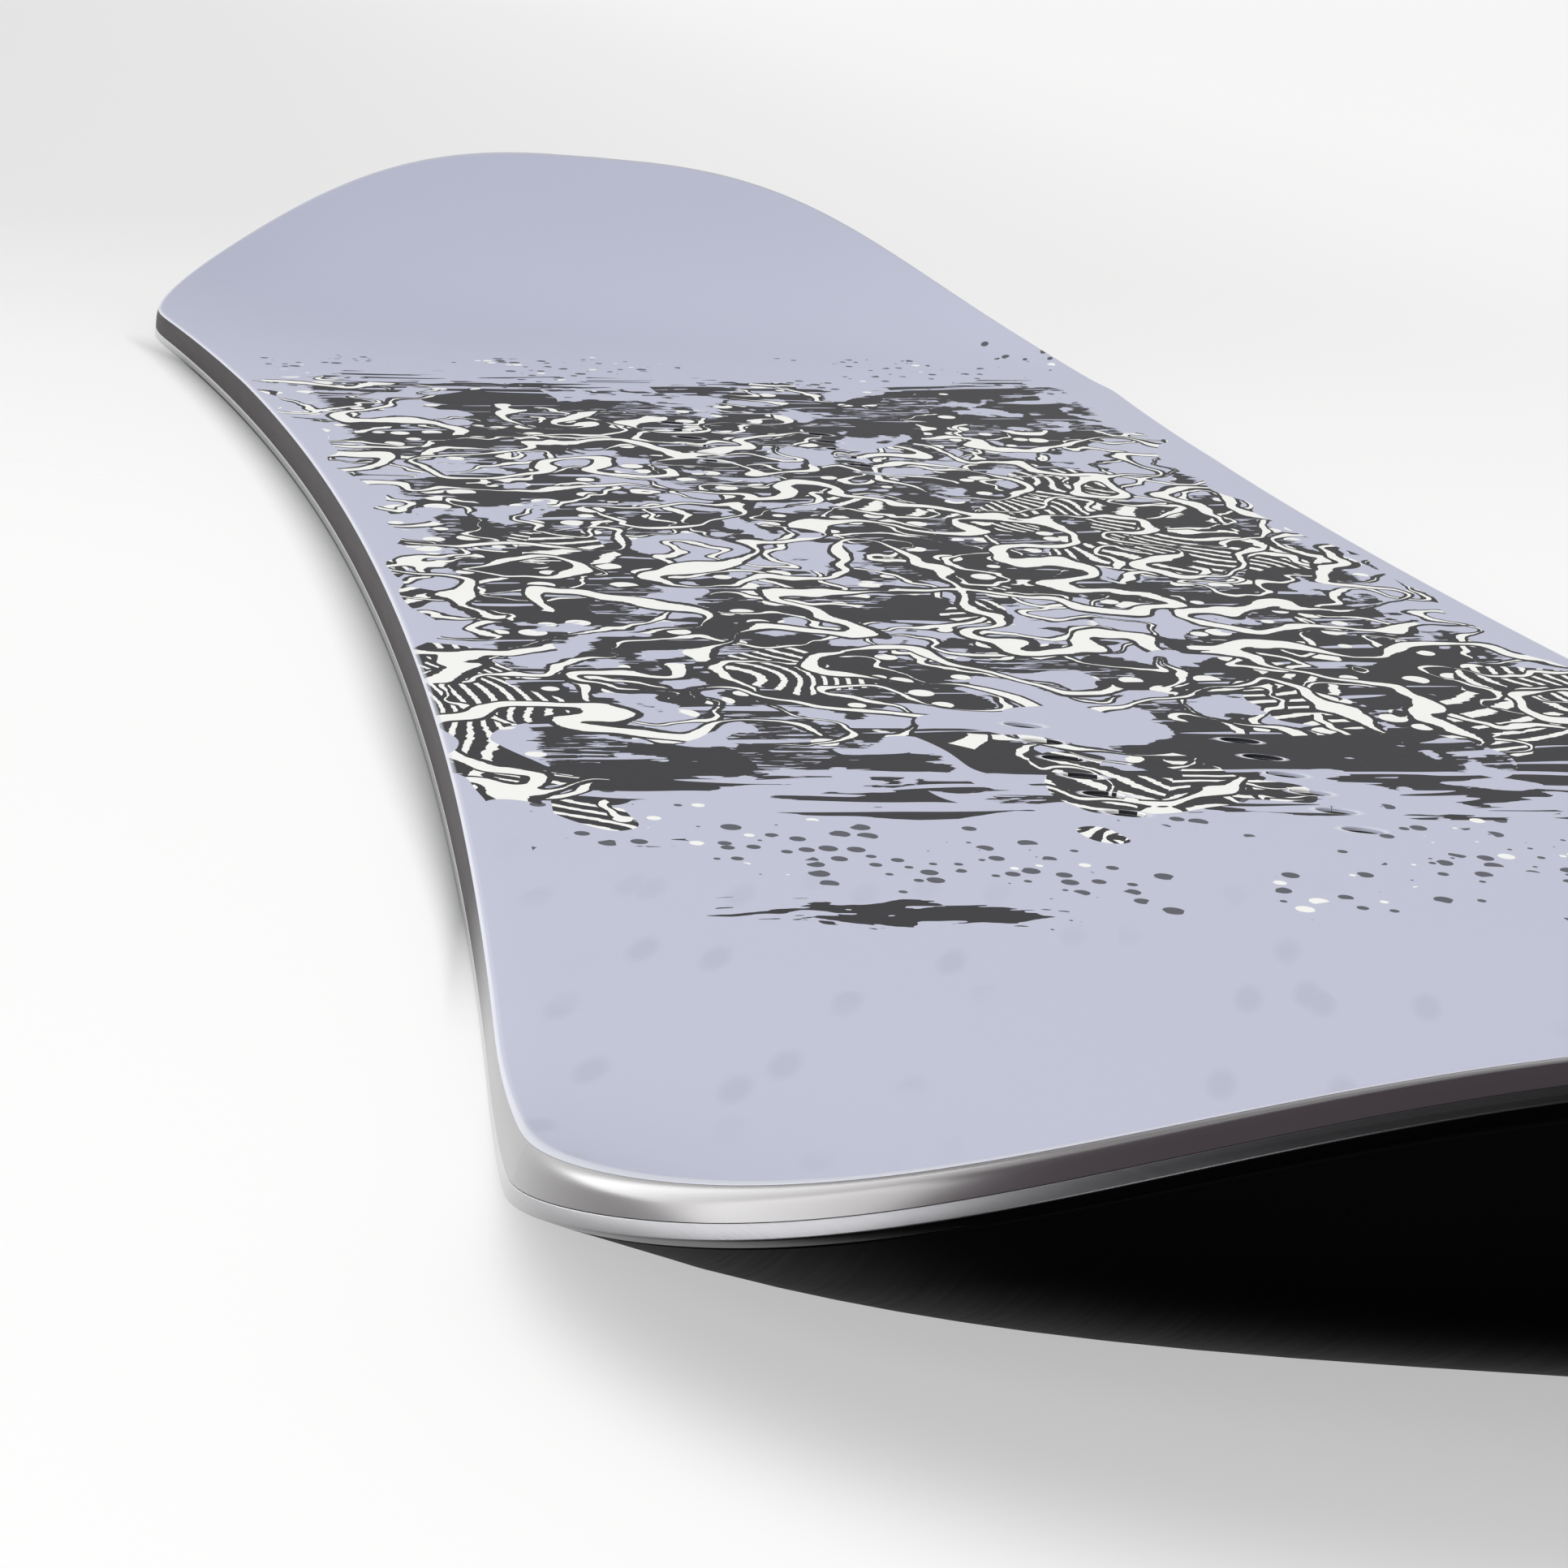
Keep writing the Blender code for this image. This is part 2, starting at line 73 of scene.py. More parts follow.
def end_size(x, which):
    return np.where(x > 0, NOSE[which], TAIL[which])


def half_width(x):
    """Half the board's width at x: a sidecut curve that a superellipse closes at each end."""
    round_length = end_size(x, "round")
    straight = HALF_LENGTH - round_length
    along = np.abs(x)
    u = np.clip((along - straight) / round_length, 0.0, 1.0)
    flare = 2 * SIDECUT_DEPTH / straight * round_length * u * (1 - u) ** 2
    closed = (1 - u**END_BLUNTNESS) ** (1 / SHOULDER_FULLNESS)
    middle = WAIST_WIDTH / 2 + SIDECUT_DEPTH * (along / straight) ** 2
    return np.where(along <= straight, middle, (WIDEST + flare) * closed)


def rim(x, inset):
    """The points that lie this far inside the left rim, measured square to the rim."""
    inset = inset + OUTLINE_CLEARANCE
    room = HALF_LENGTH - np.abs(x)
    at_tip = room < TIP_ROOM
    step = np.clip(room / 2, 1e-9, SLOPE_SAMPLE)
    inner = np.where(at_tip, 0.0, x)
    slope = (half_width(inner + step) - half_width(inner - step)) / (2 * step)
    size = np.hypot(slope, 1.0)
    out_x = np.where(at_tip, np.sign(x), -slope / size)
    out_y = np.where(at_tip, 0.0, 1 / size)
    return x - inset * out_x, half_width(x) - inset * out_y


def base_height(x, y):
    kick = end_size(x, "kick")
    k = np.maximum((np.abs(x) - (HALF_LENGTH - kick)) / kick, 0.0)
    ease = np.minimum(k, 1.0)
    ease = ease * ease * (3 - 2 * ease)
    spoon = SPOON_LIFT * (np.abs(y) / WIDEST) ** SPOON_POWER * ease
    return end_size(x, "rise") * k ** end_size(x, "power") + spoon


def upright(x, y):
    """Unit vectors that stand square on the base's surface."""
    step = SLOPE_SAMPLE
    slope_x = (base_height(x + step, y) - base_height(x - step, y)) / (2 * step)
    slope_y = (base_height(x, y + step) - base_height(x, y - step)) / (2 * step)
    up = np.stack([-slope_x, -slope_y, np.ones_like(slope_x)], axis=-1)
    return up / np.linalg.norm(up, axis=-1, keepdims=True)


def at_level(x, y, level):
    ground = np.stack([x, y, base_height(x, y)], axis=-1)
    return ground + upright(x, y) * np.broadcast_to(level, x.shape)[:, None]


def stations(first=-HALF_LENGTH, last=HALF_LENGTH):
    """Places along the board, close together in the round ends."""
    nose_start = HALF_LENGTH - NOSE["round"]
    tail_start = TAIL["round"] - HALF_LENGTH
    share = np.sin(np.linspace(0, np.pi / 2, END_STATIONS + 1)) ** (2 / END_BLUNTNESS)
    places = np.concatenate(
        [
            tail_start - TAIL["round"] * share,
            np.linspace(tail_start, nose_start, MIDDLE_STATIONS),
            nose_start + NOSE["round"] * share,
            [first, last],
        ]
    )
    places = np.unique(np.round(places, 6))
    places = places[(places >= first) & (places <= last)]
    close = np.diff(places) < CLOSEST_STATIONS
    close[-1] = False
    return places[np.concatenate([[True], ~close])]


def press(name, places, ring):
    """Draws a closed section along the board. The ring holds (inset, share of the half width,
    level), where a share of 1 is the left rim and -1 the right one. Inset and level are numbers
    or change along the board. Each point keeps its inset."""
    bm = bmesh.new()
    kept = bm.verts.layers.float.new("rim_inset")
    rows = []
    for inset, share, level in ring:
        inset = inset(places) if callable(inset) else np.full(len(places), inset)
        x, y = rim(places, inset)
        height = level(x) if callable(level) else level
        row = []
        for point, depth in zip(at_level(x, y * share, height), inset):
            vert = bm.verts.new(point)
            vert[kept] = depth if abs(share) == 1 else FLAT_INSET
            row.append(vert)
        rows.append(row)
    for row, other in zip(rows, rows[1:] + rows[:1]):
        for i in range(len(places) - 1):
            bm.faces.new((row[i], row[i + 1], other[i + 1], other[i]))
    for i in (0, -1):
        if abs(places[i]) < HALF_LENGTH - TIP_ROOM:
            bm.faces.new([row[i] for row in rows])
    bmesh.ops.remove_doubles(bm, verts=bm.verts, dist=MERGE_DISTANCE)
    bmesh.ops.dissolve_degenerate(bm, edges=bm.edges, dist=MERGE_DISTANCE)
    bmesh.ops.recalc_face_normals(bm, faces=bm.faces)
    mesh = bpy.data.meshes.new(name)
    bm.to_mesh(mesh)
    bm.free()
    mesh.shade_smooth()
    mesh.set_sharp_from_angle(angle=CREASE)
    piece = bpy.data.objects.new(name, mesh)
    bpy.context.scene.collection.objects.link(piece)
    return piece


def sheet_ring(low_columns, high_columns):
    """The section of a full-width sheet, from the columns of its left half."""
    def across(columns):
        inset, level = columns[-1]
        left = [(i, 1.0, height) for i, height in columns]
        left += [(inset, share, level) for share in SHEET_COLUMNS]
        return left + [(i, -share, height) for i, share, height in reversed(left[:-1])]

    return across(low_columns) + across(high_columns)[::-1]


class Wire:
    """A socket that gives a value. Sums and products with it add Math nodes to its tree."""

    def __init__(self, tree, socket):
        self.tree = tree
        self.socket = socket

    def math(self, operation, first, second=0.0):
        values = {0: first, 1: second}
        return self.tree.add("ShaderNodeMath", {"operation": operation}, values)

    def __add__(self, other):
        return self.math("ADD", self, other)

    def __radd__(self, other):
        return self.math("ADD", other, self)

    def __sub__(self, other):
        return self.math("SUBTRACT", self, other)

    def __rsub__(self, other):
        return self.math("SUBTRACT", other, self)

    def __mul__(self, other):
        return self.math("MULTIPLY", self, other)

    def __rmul__(self, other):
        return self.math("MULTIPLY", other, self)

    def __truediv__(self, other):
        return self.math("DIVIDE", self, other)

    def __gt__(self, other):
        return self.math("GREATER_THAN", self, other)

    def __lt__(self, other):
        return self.math("LESS_THAN", self, other)

    def __abs__(self):
        return self.math("ABSOLUTE", self)

    def root(self):
        return self.math("SQRT", self)

    def least(self, other):
        return self.math("MINIMUM", self, other)

    def most(self, other):
        return self.math("MAXIMUM", self, other)

    def waves(self):
        """A triangle wave from 0 to 1 and back for each whole number that the value passes."""
        return self.math("PINGPONG", self, 0.5) * 2.0

    def fade(self, start, end):
        """0 before start, 1 after end and a soft step between them."""
        values = {"Value": self, "From Min": start, "From Max": end}
        settings = {"interpolation_type": "SMOOTHSTEP"}
        return self.tree.add("ShaderNodeMapRange", settings, values)

    def output(self, name):
        return Wire(self.tree, self.socket.node.outputs[name])


class Tree:
    """A node tree that is written as a list of nodes with their settings and values."""

    def __init__(self, tree):
        self.tree = tree

    def add(self, kind, settings=None, values=None, output=0):
        node = self.tree.nodes.new(kind)
        for key, value in (settings or {}).items():
            if key == "stops":
                ramp = node.color_ramp.elements
                while len(ramp) < len(value):
                    ramp.new(0.5)
                for element, (position, color) in zip(ramp, value):
                    element.position = position
                    element.color = color
            else:
                setattr(node, key, value)
        for key, value in (values or {}).items():
            self.feed(node.inputs[key], value)
        return Wire(self, node.outputs[output])

    def feed(self, socket, value):
        if isinstance(value, Wire):
            self.tree.links.new(value.socket, socket)
        else:
            socket.default_value = value

    def point(self, x=0.0, y=0.0, z=0.0):
        return self.add("ShaderNodeCombineXYZ", None, {"X": x, "Y": y, "Z": z})


class Finish(Tree):
    """A material whose colour, roughness and bumps are worked out from the object's own place."""

    def __init__(self, name, **constants):
        self.material = bpy.data.materials.new(name)
        self.material.use_nodes = True
        super().__init__(self.material.node_tree)
        self.shader = self.tree.nodes["Principled BSDF"]
        for key, value in constants.items():
            self.feed(self.shader.inputs[key.replace("_", " ").title()], value)
        self.place = self.add("ShaderNodeTexCoord", output="Object")

    def along(self, axis):
        split = self.add("ShaderNodeSeparateXYZ", values={0: self.place})
        return split.output(axis)

    def vector(self, operation, first, second):
        values = {0: first, 1: second}
        return self.add("ShaderNodeVectorMath", {"operation": operation}, values)

    def stretch(self, scale, place=None):
        """The place, scaled by a different amount along each axis."""
        return self.vector("MULTIPLY", place or self.place, scale)

    def noise(self, scale, detail=2.0, roughness=0.5, place=None, output="Fac"):
        values = {"Vector": place or self.place, "Scale": scale, "Detail": detail}
        values["Roughness"] = roughness
        return self.add("ShaderNodeTexNoise", None, values, output)

    def blend(self, factor, first, second):
        values = {0: factor, 6: first, 7: second}
        return self.add("ShaderNodeMix", {"data_type": "RGBA"}, values, 2)

    def color(self, value):
        self.feed(self.shader.inputs["Base Color"], value)

    def roughness(self, value):
        self.feed(self.shader.inputs["Roughness"], value)

    def shine(self, level):
        self.feed(self.shader.inputs["Specular IOR Level"], level)

    def coat(self, weight):
        self.feed(self.shader.inputs["Coat Weight"], weight)

    def surface(self, value):
        self.feed(self.tree.nodes["Material Output"].inputs["Surface"], value)

    def bump(self, height, depth, strength=1.0):
        values = {"Height": height, "Distance": depth, "Strength": strength}
        self.feed(self.shader.inputs["Normal"], self.add("ShaderNodeBump", None, values))

    def cover(self, *pieces):
        for piece in pieces:
            piece.data.materials.clear()
            piece.data.materials.append(self.material)


base_ring = sheet_ring(
    [(BASE_INSET, BASE_CHAMFER), (BASE_INSET + BASE_CHAMFER, 0.0), (FLAT_INSET, 0.0)],
    [(BASE_INSET, BASE_THICKNESS), (FLAT_INSET, BASE_THICKNESS)],
)
base = press("running_base", stations(), base_ring)

base_finish = Finish("base_polyethylene", roughness=0.42)
base_finish.shine(0.006)
structure = base_finish.noise(1.0, 3.0, 0.6, base_finish.stretch((9.0, 1900.0, 40.0)))
haze = base_finish.noise(14.0, 3.0)
base_finish.color(
    base_finish.blend(haze * 0.5, (0.0015, 0.0015, 0.0017, 1), (0.004, 0.004, 0.0045, 1))
)
base_finish.roughness(0.34 + structure * 0.12 + haze * 0.08)
base_finish.bump(structure, 0.00002)
base_finish.cover(base)
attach(base, "root")
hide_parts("base")


# Steel edges. Two rolled strips of hardened steel, bent round the outline and meeting in a
# butt joint at nose and tail. A thin flange reaches in over the base and is glued there. They
# are ground bright along the sides. Round the ends they are painted nearly black as a painted
# dark reflection, and they are rougher there.

EDGE_WIDTH = 0.0020
EDGE_HEIGHT = 0.0020
EDGE_CORNER = 0.00022
EDGE_JOINT_GAP = 0.0004
FLANGE_WIDTH = 0.0050
FLANGE_THICKNESS = 0.0004
FLANGE_LEVEL = 0.0015
FLANGE_START = 0.98
DARK_PAINT_START = 0.60
DARK_PAINT_FULL = 0.70


class Growth(Tree):
    """A Geometry Nodes tree with named inputs, run on an object to make a plain mesh."""

    def __init__(self, name, **inputs):
        group = bpy.data.node_groups.new(name, "GeometryNodeTree")
        super().__init__(group)
        kinds = {"Geometry": "NodeSocketGeometry", "Material": "NodeSocketMaterial"}
        self.identifiers = {}
        for key in ("Geometry", *inputs, "Material"):
            kind = kinds.get(key, "NodeSocketInt" if isinstance(inputs.get(key), int) else None)
            socket = group.interface.new_socket(
                key, in_out="INPUT", socket_type=kind or "NodeSocketFloat"
            )
            self.identifiers[key] = socket.identifier
            if key in inputs:
                socket.default_value = inputs[key]
        group.interface.new_socket("Geometry", in_out="OUTPUT", socket_type="NodeSocketGeometry")
        self.entry = group.nodes.new("NodeGroupInput")

    def given(self, name):
        return Wire(self, self.entry.outputs[name])

    def end(self, geometry):
        """Every tree ends in plain geometry with its material."""
        plain = self.add("GeometryNodeRealizeInstances", None, {"Geometry": geometry})
        values = {"Geometry": plain, "Material": self.given("Material")}
        made = self.add("GeometryNodeSetMaterial", None, values)
        leaving = self.tree.nodes.new("NodeGroupOutput")
        self.tree.links.new(made.socket, leaving.inputs[0])

    def gather(self, parts, node, index=0):
        """Links all parts to one input of the node, as Join Geometry takes them."""
        for part in parts:
            self.tree.links.new(part.socket, node.socket.node.inputs[index])
        return node

    def join(self, *parts):
        return self.gather(parts, self.add("GeometryNodeJoinGeometry"))

    def run(self, name, source, material):
        """The result on this source object, as a new object with a plain mesh."""
        modifier = source.modifiers.new(name, "NODES")
        modifier.node_group = self.tree
        modifier[self.identifiers["Material"]] = material
        graph = bpy.context.evaluated_depsgraph_get()
        mesh = bpy.data.meshes.new_from_object(
            source.evaluated_get(graph), preserve_all_data_layers=True, depsgraph=graph
        )
        source.modifiers.remove(modifier)
        mesh.name = name
        mesh.set_sharp_from_angle(angle=CREASE)
        piece = bpy.data.objects.new(name, mesh)
        bpy.context.scene.collection.objects.link(piece)
        return piece


def rim_path(name, side):
    """A line along one rim, at the height of the base, with the upright of each of its points.
    It runs clockwise seen from above, so that a section's second axis points inwards."""
    places = stations()
    if side < 0:
        places = places[::-1]
    x, y = rim(places, 0.0)
    y = np.maximum(y, EDGE_JOINT_GAP / 2) * side
    mesh = bpy.data.meshes.new(name)
    links = [(i, i + 1) for i in range(len(places) - 1)]
    mesh.from_pydata(at_level(x, y, 0.0).tolist(), links, [])
    up = mesh.attributes.new("up", "FLOAT_VECTOR", "POINT")
    up.data.foreach_set("vector", upright(x, y).astype(np.float32).ravel())
    path = bpy.data.objects.new(name, mesh)
    bpy.context.scene.collection.objects.link(path)
    return path


def bar_section(tree, height, width, level, inset, corner=None):
    """A bar's rectangular section: its first axis is the level, its second the inset."""
    sizes = {"Width": height, "Height": width}
    outline = tree.add("GeometryNodeCurvePrimitiveQuadrilateral", None, sizes)
    if corner is not None:
        values = {"Curve": outline, "Count": 4, "Radius": corner}
        outline = tree.add("GeometryNodeFilletCurve", {"mode": "POLY"}, values)
    middle = tree.point(height * 0.5 + level, width * 0.5 + inset)
    return tree.add("GeometryNodeTransform", None, {"Geometry": outline, "Translation": middle})


edge_growth = Growth(
    "rolled_edge",
    **{
        "Width": EDGE_WIDTH,
        "Height": EDGE_HEIGHT,
        "Corner": EDGE_CORNER,
        "Flange Width": FLANGE_WIDTH,
        "Flange Thickness": FLANGE_THICKNESS,
        "Flange Level": FLANGE_LEVEL,
    },
)
path = edge_growth.add("GeometryNodeMeshToCurve", None, {"Mesh": edge_growth.given("Geometry")})
up = edge_growth.add(
    "GeometryNodeInputNamedAttribute", {"data_type": "FLOAT_VECTOR"}, {"Name": "up"}
)
path = edge_growth.add(
    "GeometryNodeSetCurveNormal", {"mode": "FREE"}, {"Curve": path, "Normal": up}
)
reach = edge_growth.add("GeometryNodeSplineParameter", output="Length")
path = edge_growth.add(
    "GeometryNodeStoreNamedAttribute",
    {"data_type": "FLOAT", "domain": "POINT"},
    {"Geometry": path, "Name": "along_rim", "Value": reach},
)
bar = bar_section(
    edge_growth,
    edge_growth.given("Height"),
    edge_growth.given("Width"),
    level=0.0,
    inset=0.0,
    corner=edge_growth.given("Corner"),
)
flange = bar_section(
    edge_growth,
    edge_growth.given("Flange Thickness"),
    edge_growth.given("Flange Width"),
    level=edge_growth.given("Flange Level"),
    inset=edge_growth.given("Width") * FLANGE_START,
)
section = edge_growth.join(bar, flange)
swept = edge_growth.add(
    "GeometryNodeCurveToMesh",
    None,
    {"Curve": path, "Profile Curve": section, "Fill Caps": True},
)
edge_growth.end(swept)

steel = Finish("edge_steel", metallic=1.0)
run_length = steel.add("ShaderNodeAttribute", {"attribute_name": "along_rim"}, output="Fac")
height = steel.along("Z")
grind = steel.noise(1.0, 3.0, 0.6, steel.point(run_length * 60.0, height * 9000.0))
blotch = steel.noise(35.0, 3.0)
# Round the ends the steel's colour is painted nearly black as a painted dark reflection, and it is
# rougher there.
painted_dark_ends = abs(steel.along("X")).fade(DARK_PAINT_START, DARK_PAINT_FULL)
bright = steel.blend(grind * 0.6 + blotch * 0.4, (0.30, 0.30, 0.31, 1), (0.52, 0.52, 0.54, 1))
painted_dark_steel = steel.blend(blotch, (0.075, 0.075, 0.08, 1), (0.12, 0.12, 0.125, 1))
steel.color(steel.blend(painted_dark_ends, bright, painted_dark_steel))
steel.roughness(0.10 + grind * 0.12 + painted_dark_ends * 0.20)
steel.bump(grind, 0.00001)
for side, mark in ((1, "left"), (-1, "right")):
    guide = rim_path(f"edge_path_{mark}", side)
    edge = edge_growth.run(f"edge_{mark}", guide, steel.material)
    bpy.data.objects.remove(guide)
    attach(edge, "root")
    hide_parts(f"steel_edge_{mark}")


# Edge foils. Strips of thin black rubber, laid on the edges' flanges before pressing.
# They bond steel to laminate and damp its ringing. Their CAD solids keep their shape.

rubber = Finish("damping_rubber", roughness=0.8)
grit = rubber.noise(900.0, 3.0)
cloud = rubber.noise(45.0, 2.0)
rubber.color(rubber.blend(cloud, (0.018, 0.018, 0.019, 1), (0.045, 0.044, 0.043, 1)))
rubber.roughness(0.7 + grit * 0.2)
rubber.bump(grit, 0.00004)
rubber.cover(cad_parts["edge_foil_left"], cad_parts["edge_foil_right"])


# Laminates. Glass-fibre cloth in epoxy, one sheet under the core and one over it.
# The lower one drapes over the edge foils, and both are pressed on with the resin wet.

CLOTH_PITCH = 0.0016

glass = Finish("glass_laminate", roughness=0.4)
warp = (glass.along("X") / CLOTH_PITCH).waves()
weft = (glass.along("Y") / CLOTH_PITCH).waves()
checker = glass.add(
    "ShaderNodeTexChecker", None, {"Vector": glass.place, "Scale": 1 / CLOTH_PITCH}, "Fac"
)
weave = checker * warp + (1.0 - checker) * weft
resin = glass.noise(22.0, 4.0)
cloth = glass.blend(weave, (0.40, 0.44, 0.33, 1), (0.70, 0.74, 0.62, 1))
glass.color(glass.blend(resin * 0.5, cloth, (0.58, 0.57, 0.38, 1)))
glass.roughness(0.3 + weave * 0.25)
glass.bump(weave, 0.00008)
glass.cover(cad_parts["lower_laminate"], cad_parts["upper_laminate"])


# Wood core. Nine planed strips glued edge to edge: poplar for lightness, and beech under
# the two rows of inserts, where the screws pull. The grain runs along the board.


def wood(name, early, late, ring_scale, fleck):
    """Planed wood with its grain along the board, early and late wood and short dark flecks."""
    grain = Finish(name)
    drift = grain.noise(3.0, 2.0, place=grain.stretch((0.6, 6.0, 6.0)))
    across = grain.along("Y") * ring_scale + grain.along("Z") * (ring_scale * 0.35) + drift * 5.0
    rings = across.waves()
    fibre = grain.noise(1.0, 4.0, 0.6, grain.stretch((25.0, 1500.0, 1500.0)))
    pores = grain.noise(1.0, 2.0, 0.5, grain.stretch((90.0, 1100.0, 1100.0))).fade(0.62, 0.7)
    tone = rings * 0.55 + fibre * 0.45
    plain = grain.blend(tone, early, late)
    grain.color(grain.blend(pores * fleck, plain, [c * 0.45 for c in late[:3]] + [1]))
    grain.roughness(0.55 + fibre * 0.2)
    grain.bump(fibre + pores * -0.5, 0.00005)
    return grain


poplar = wood("core_poplar", (0.74, 0.60, 0.40, 1), (0.55, 0.40, 0.23, 1), 160.0, 0.3)
beech = wood("core_beech", (0.58, 0.37, 0.22, 1), (0.42, 0.24, 0.13, 1), 220.0, 0.8)
for name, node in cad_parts.items():
    if name.startswith("core_insert"):
        beech.cover(node)
    elif name.startswith("core_"):
        poplar.cover(node)


# Binding inserts. Turned steel barrels with an M6 thread, each on a wide foot that is pressed
# into the core from below. They stand in two packs of two rows, 40 mm apart and 20 mm in pitch.

MIDDLE_THICKNESS = 0.0094
STANCE_WIDTH = 0.560
INSERTS_PER_ROW = 6
INSERT_PITCH = 0.020
ROW_DISTANCE = 0.040
FOOT_RADIUS = 0.0080
FOOT_THICKNESS = 0.0010
FOOT_LEVEL = 0.0024
BARREL_RADIUS = 0.0046
BARREL_COVER = 0.0019
BARREL_TOP = MIDDLE_THICKNESS - BARREL_COVER
BORE_RADIUS = 0.0030
BORE_FLOOR = 0.0036
BORE_COUNTERSINK = 0.0004
BORE_POINT = 0.0008
FOOT_EDGE = 0.0001
INSERT_CHAMFER = 0.0002
THREAD_PITCH = 0.0010
THREAD_END_ROOM = THREAD_PITCH * 0.3
RIDGE_RADIUS = 0.000425


def insert_points(tree):
    """The place of every insert: a grid of points under each foot of the rider."""
    packs = []
    length = tree.given("Pitch") * (tree.given("Per Row") - 1.0)
    for direction in (-0.5, 0.5):
        grid = tree.add(
            "GeometryNodeMeshGrid",
            None,
            {
                "Size X": length,
                "Size Y": tree.given("Row Distance"),
                "Vertices X": tree.given("Per Row"),
                "Vertices Y": 2,
            },
        )
        values = {"Geometry": grid, "Translation": tree.point(tree.given("Stance") * direction)}
        packs.append(tree.add("GeometryNodeTransform", None, values))
    return tree.join(*packs)


pattern_sizes = {
    "Stance": STANCE_WIDTH,
    "Per Row": INSERTS_PER_ROW,
    "Pitch": INSERT_PITCH,
    "Row Distance": ROW_DISTANCE,
}
insert_growth = Growth(
    "insert_pattern",
    **pattern_sizes,
    **{
        "Thread Turns": (BARREL_TOP - BORE_FLOOR) / THREAD_PITCH,
        "Thread Radius": BORE_RADIUS,
        "Thread Start": BORE_FLOOR + THREAD_END_ROOM,
        "Thread Height": BARREL_TOP - BORE_FLOOR - 2 * THREAD_END_ROOM,
        "Ridge Radius": RIDGE_RADIUS,
    },
)
spiral = insert_growth.add(
    "GeometryNodeCurveSpiral",
    None,
    {
        "Resolution": 24,
        "Rotations": insert_growth.given("Thread Turns"),
        "Start Radius": insert_growth.given("Thread Radius"),
        "End Radius": insert_growth.given("Thread Radius"),
        "Height": insert_growth.given("Thread Height"),
    },
)
ridge = insert_growth.add(
    "GeometryNodeCurvePrimitiveCircle",
    None,
    {"Resolution": 3, "Radius": insert_growth.given("Ridge Radius")},
)
thread = insert_growth.add(
    "GeometryNodeCurveToMesh", None, {"Curve": spiral, "Profile Curve": ridge, "Fill Caps": True}
)
thread_start = insert_growth.point(z=insert_growth.given("Thread Start"))
thread = insert_growth.add(
    "GeometryNodeTransform", None, {"Geometry": thread, "Translation": thread_start}
)
barrel_and_thread = insert_growth.join(insert_growth.given("Geometry"), thread)
placed = insert_growth.add(
    "GeometryNodeInstanceOnPoints",
    None,
    {"Points": insert_points(insert_growth), "Instance": barrel_and_thread},
)
insert_growth.end(placed)


def turned(name, profile, sides):
    """A piece turned on a lathe round the upright axis, from its profile of (radius, height)."""
    bm = bmesh.new()
    rows = []
    for radius, z in profile:
        row = []
        for i in range(sides):
            angle = 2 * math.pi * i / sides
            row.append(bm.verts.new((radius * math.cos(angle), radius * math.sin(angle), z)))
        rows.append(row)
    for row, other in zip(rows, rows[1:]):
        for i in range(sides):
            bm.faces.new((row[i - 1], row[i], other[i], other[i - 1]))
    bmesh.ops.remove_doubles(bm, verts=bm.verts, dist=MERGE_DISTANCE)
    bmesh.ops.dissolve_degenerate(bm, edges=bm.edges, dist=MERGE_DISTANCE)
    bmesh.ops.recalc_face_normals(bm, faces=bm.faces)
    mesh = bpy.data.meshes.new(name)
    bm.to_mesh(mesh)
    bm.free()
    mesh.shade_smooth()
    piece = bpy.data.objects.new(name, mesh)
    bpy.context.scene.collection.objects.link(piece)
    return piece


insert_profile = (
    (0.0, FOOT_LEVEL),
    (FOOT_RADIUS - FOOT_EDGE, FOOT_LEVEL),
    (FOOT_RADIUS, FOOT_LEVEL + FOOT_EDGE),
    (FOOT_RADIUS, FOOT_LEVEL + FOOT_THICKNESS - INSERT_CHAMFER),
    (FOOT_RADIUS - INSERT_CHAMFER, FOOT_LEVEL + FOOT_THICKNESS),
    (BARREL_RADIUS, FOOT_LEVEL + FOOT_THICKNESS),
    (BARREL_RADIUS, BARREL_TOP - INSERT_CHAMFER),
    (BARREL_RADIUS - INSERT_CHAMFER, BARREL_TOP),
    (BORE_RADIUS + BORE_COUNTERSINK, BARREL_TOP),
    (BORE_RADIUS, BARREL_TOP - BORE_COUNTERSINK),
    (BORE_RADIUS, BORE_FLOOR),
    (0.0, BORE_FLOOR - BORE_POINT),
)
insert_steel = Finish("insert_steel", metallic=1.0)
turning = insert_steel.noise(1.0, 2.0, 0.5, insert_steel.stretch((300.0, 300.0, 16000.0)))
tarnish = insert_steel.noise(220.0, 3.0)
insert_steel.color(insert_steel.blend(tarnish, (0.10, 0.10, 0.11, 1), (0.24, 0.24, 0.25, 1)))
insert_steel.roughness(0.25 + turning * 0.2)
insert_steel.bump(turning, 0.00002)
blank = turned("insert_blank", insert_profile, sides=40)
inserts = insert_growth.run("binding_inserts", blank, insert_steel.material)
bpy.data.objects.remove(blank)
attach(inserts, "root")
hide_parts(*[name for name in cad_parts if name.startswith("insert_")])


# Sidewalls. Bars of dark plastic that close the long sides of the core between steel edge and
# topsheet. They are milled after pressing, which leaves them slightly rounded, and polished
# towards the tail.

TIP_THICKNESS = 0.0070
TAPER_LENGTH = 0.425
CORE_HALF_LENGTH = 0.640
SIDEWALL_WIDTH = 0.0090
WALL_GAP = 0.00003
WALL_LOW = EDGE_HEIGHT + WALL_GAP
WALL_END_GAP = 0.00004
FACE_INSET = 0.00001
FACE_STEPS = 14
FACE_BELLY = 0.45
FACE_FOOT_FLATNESS = 1.8
LIP_WIDTH = 0.0024
LIP_SLOPE = 0.0002
RIM_LAMINATE_TOP = 0.0034
CORE_TOP_DEPTH = 0.0019
ROUND_END_START = 0.56
ROUND_END_FULL = 0.70
POLISHED_UP_TO = -0.55
MILLED_FROM = -0.42


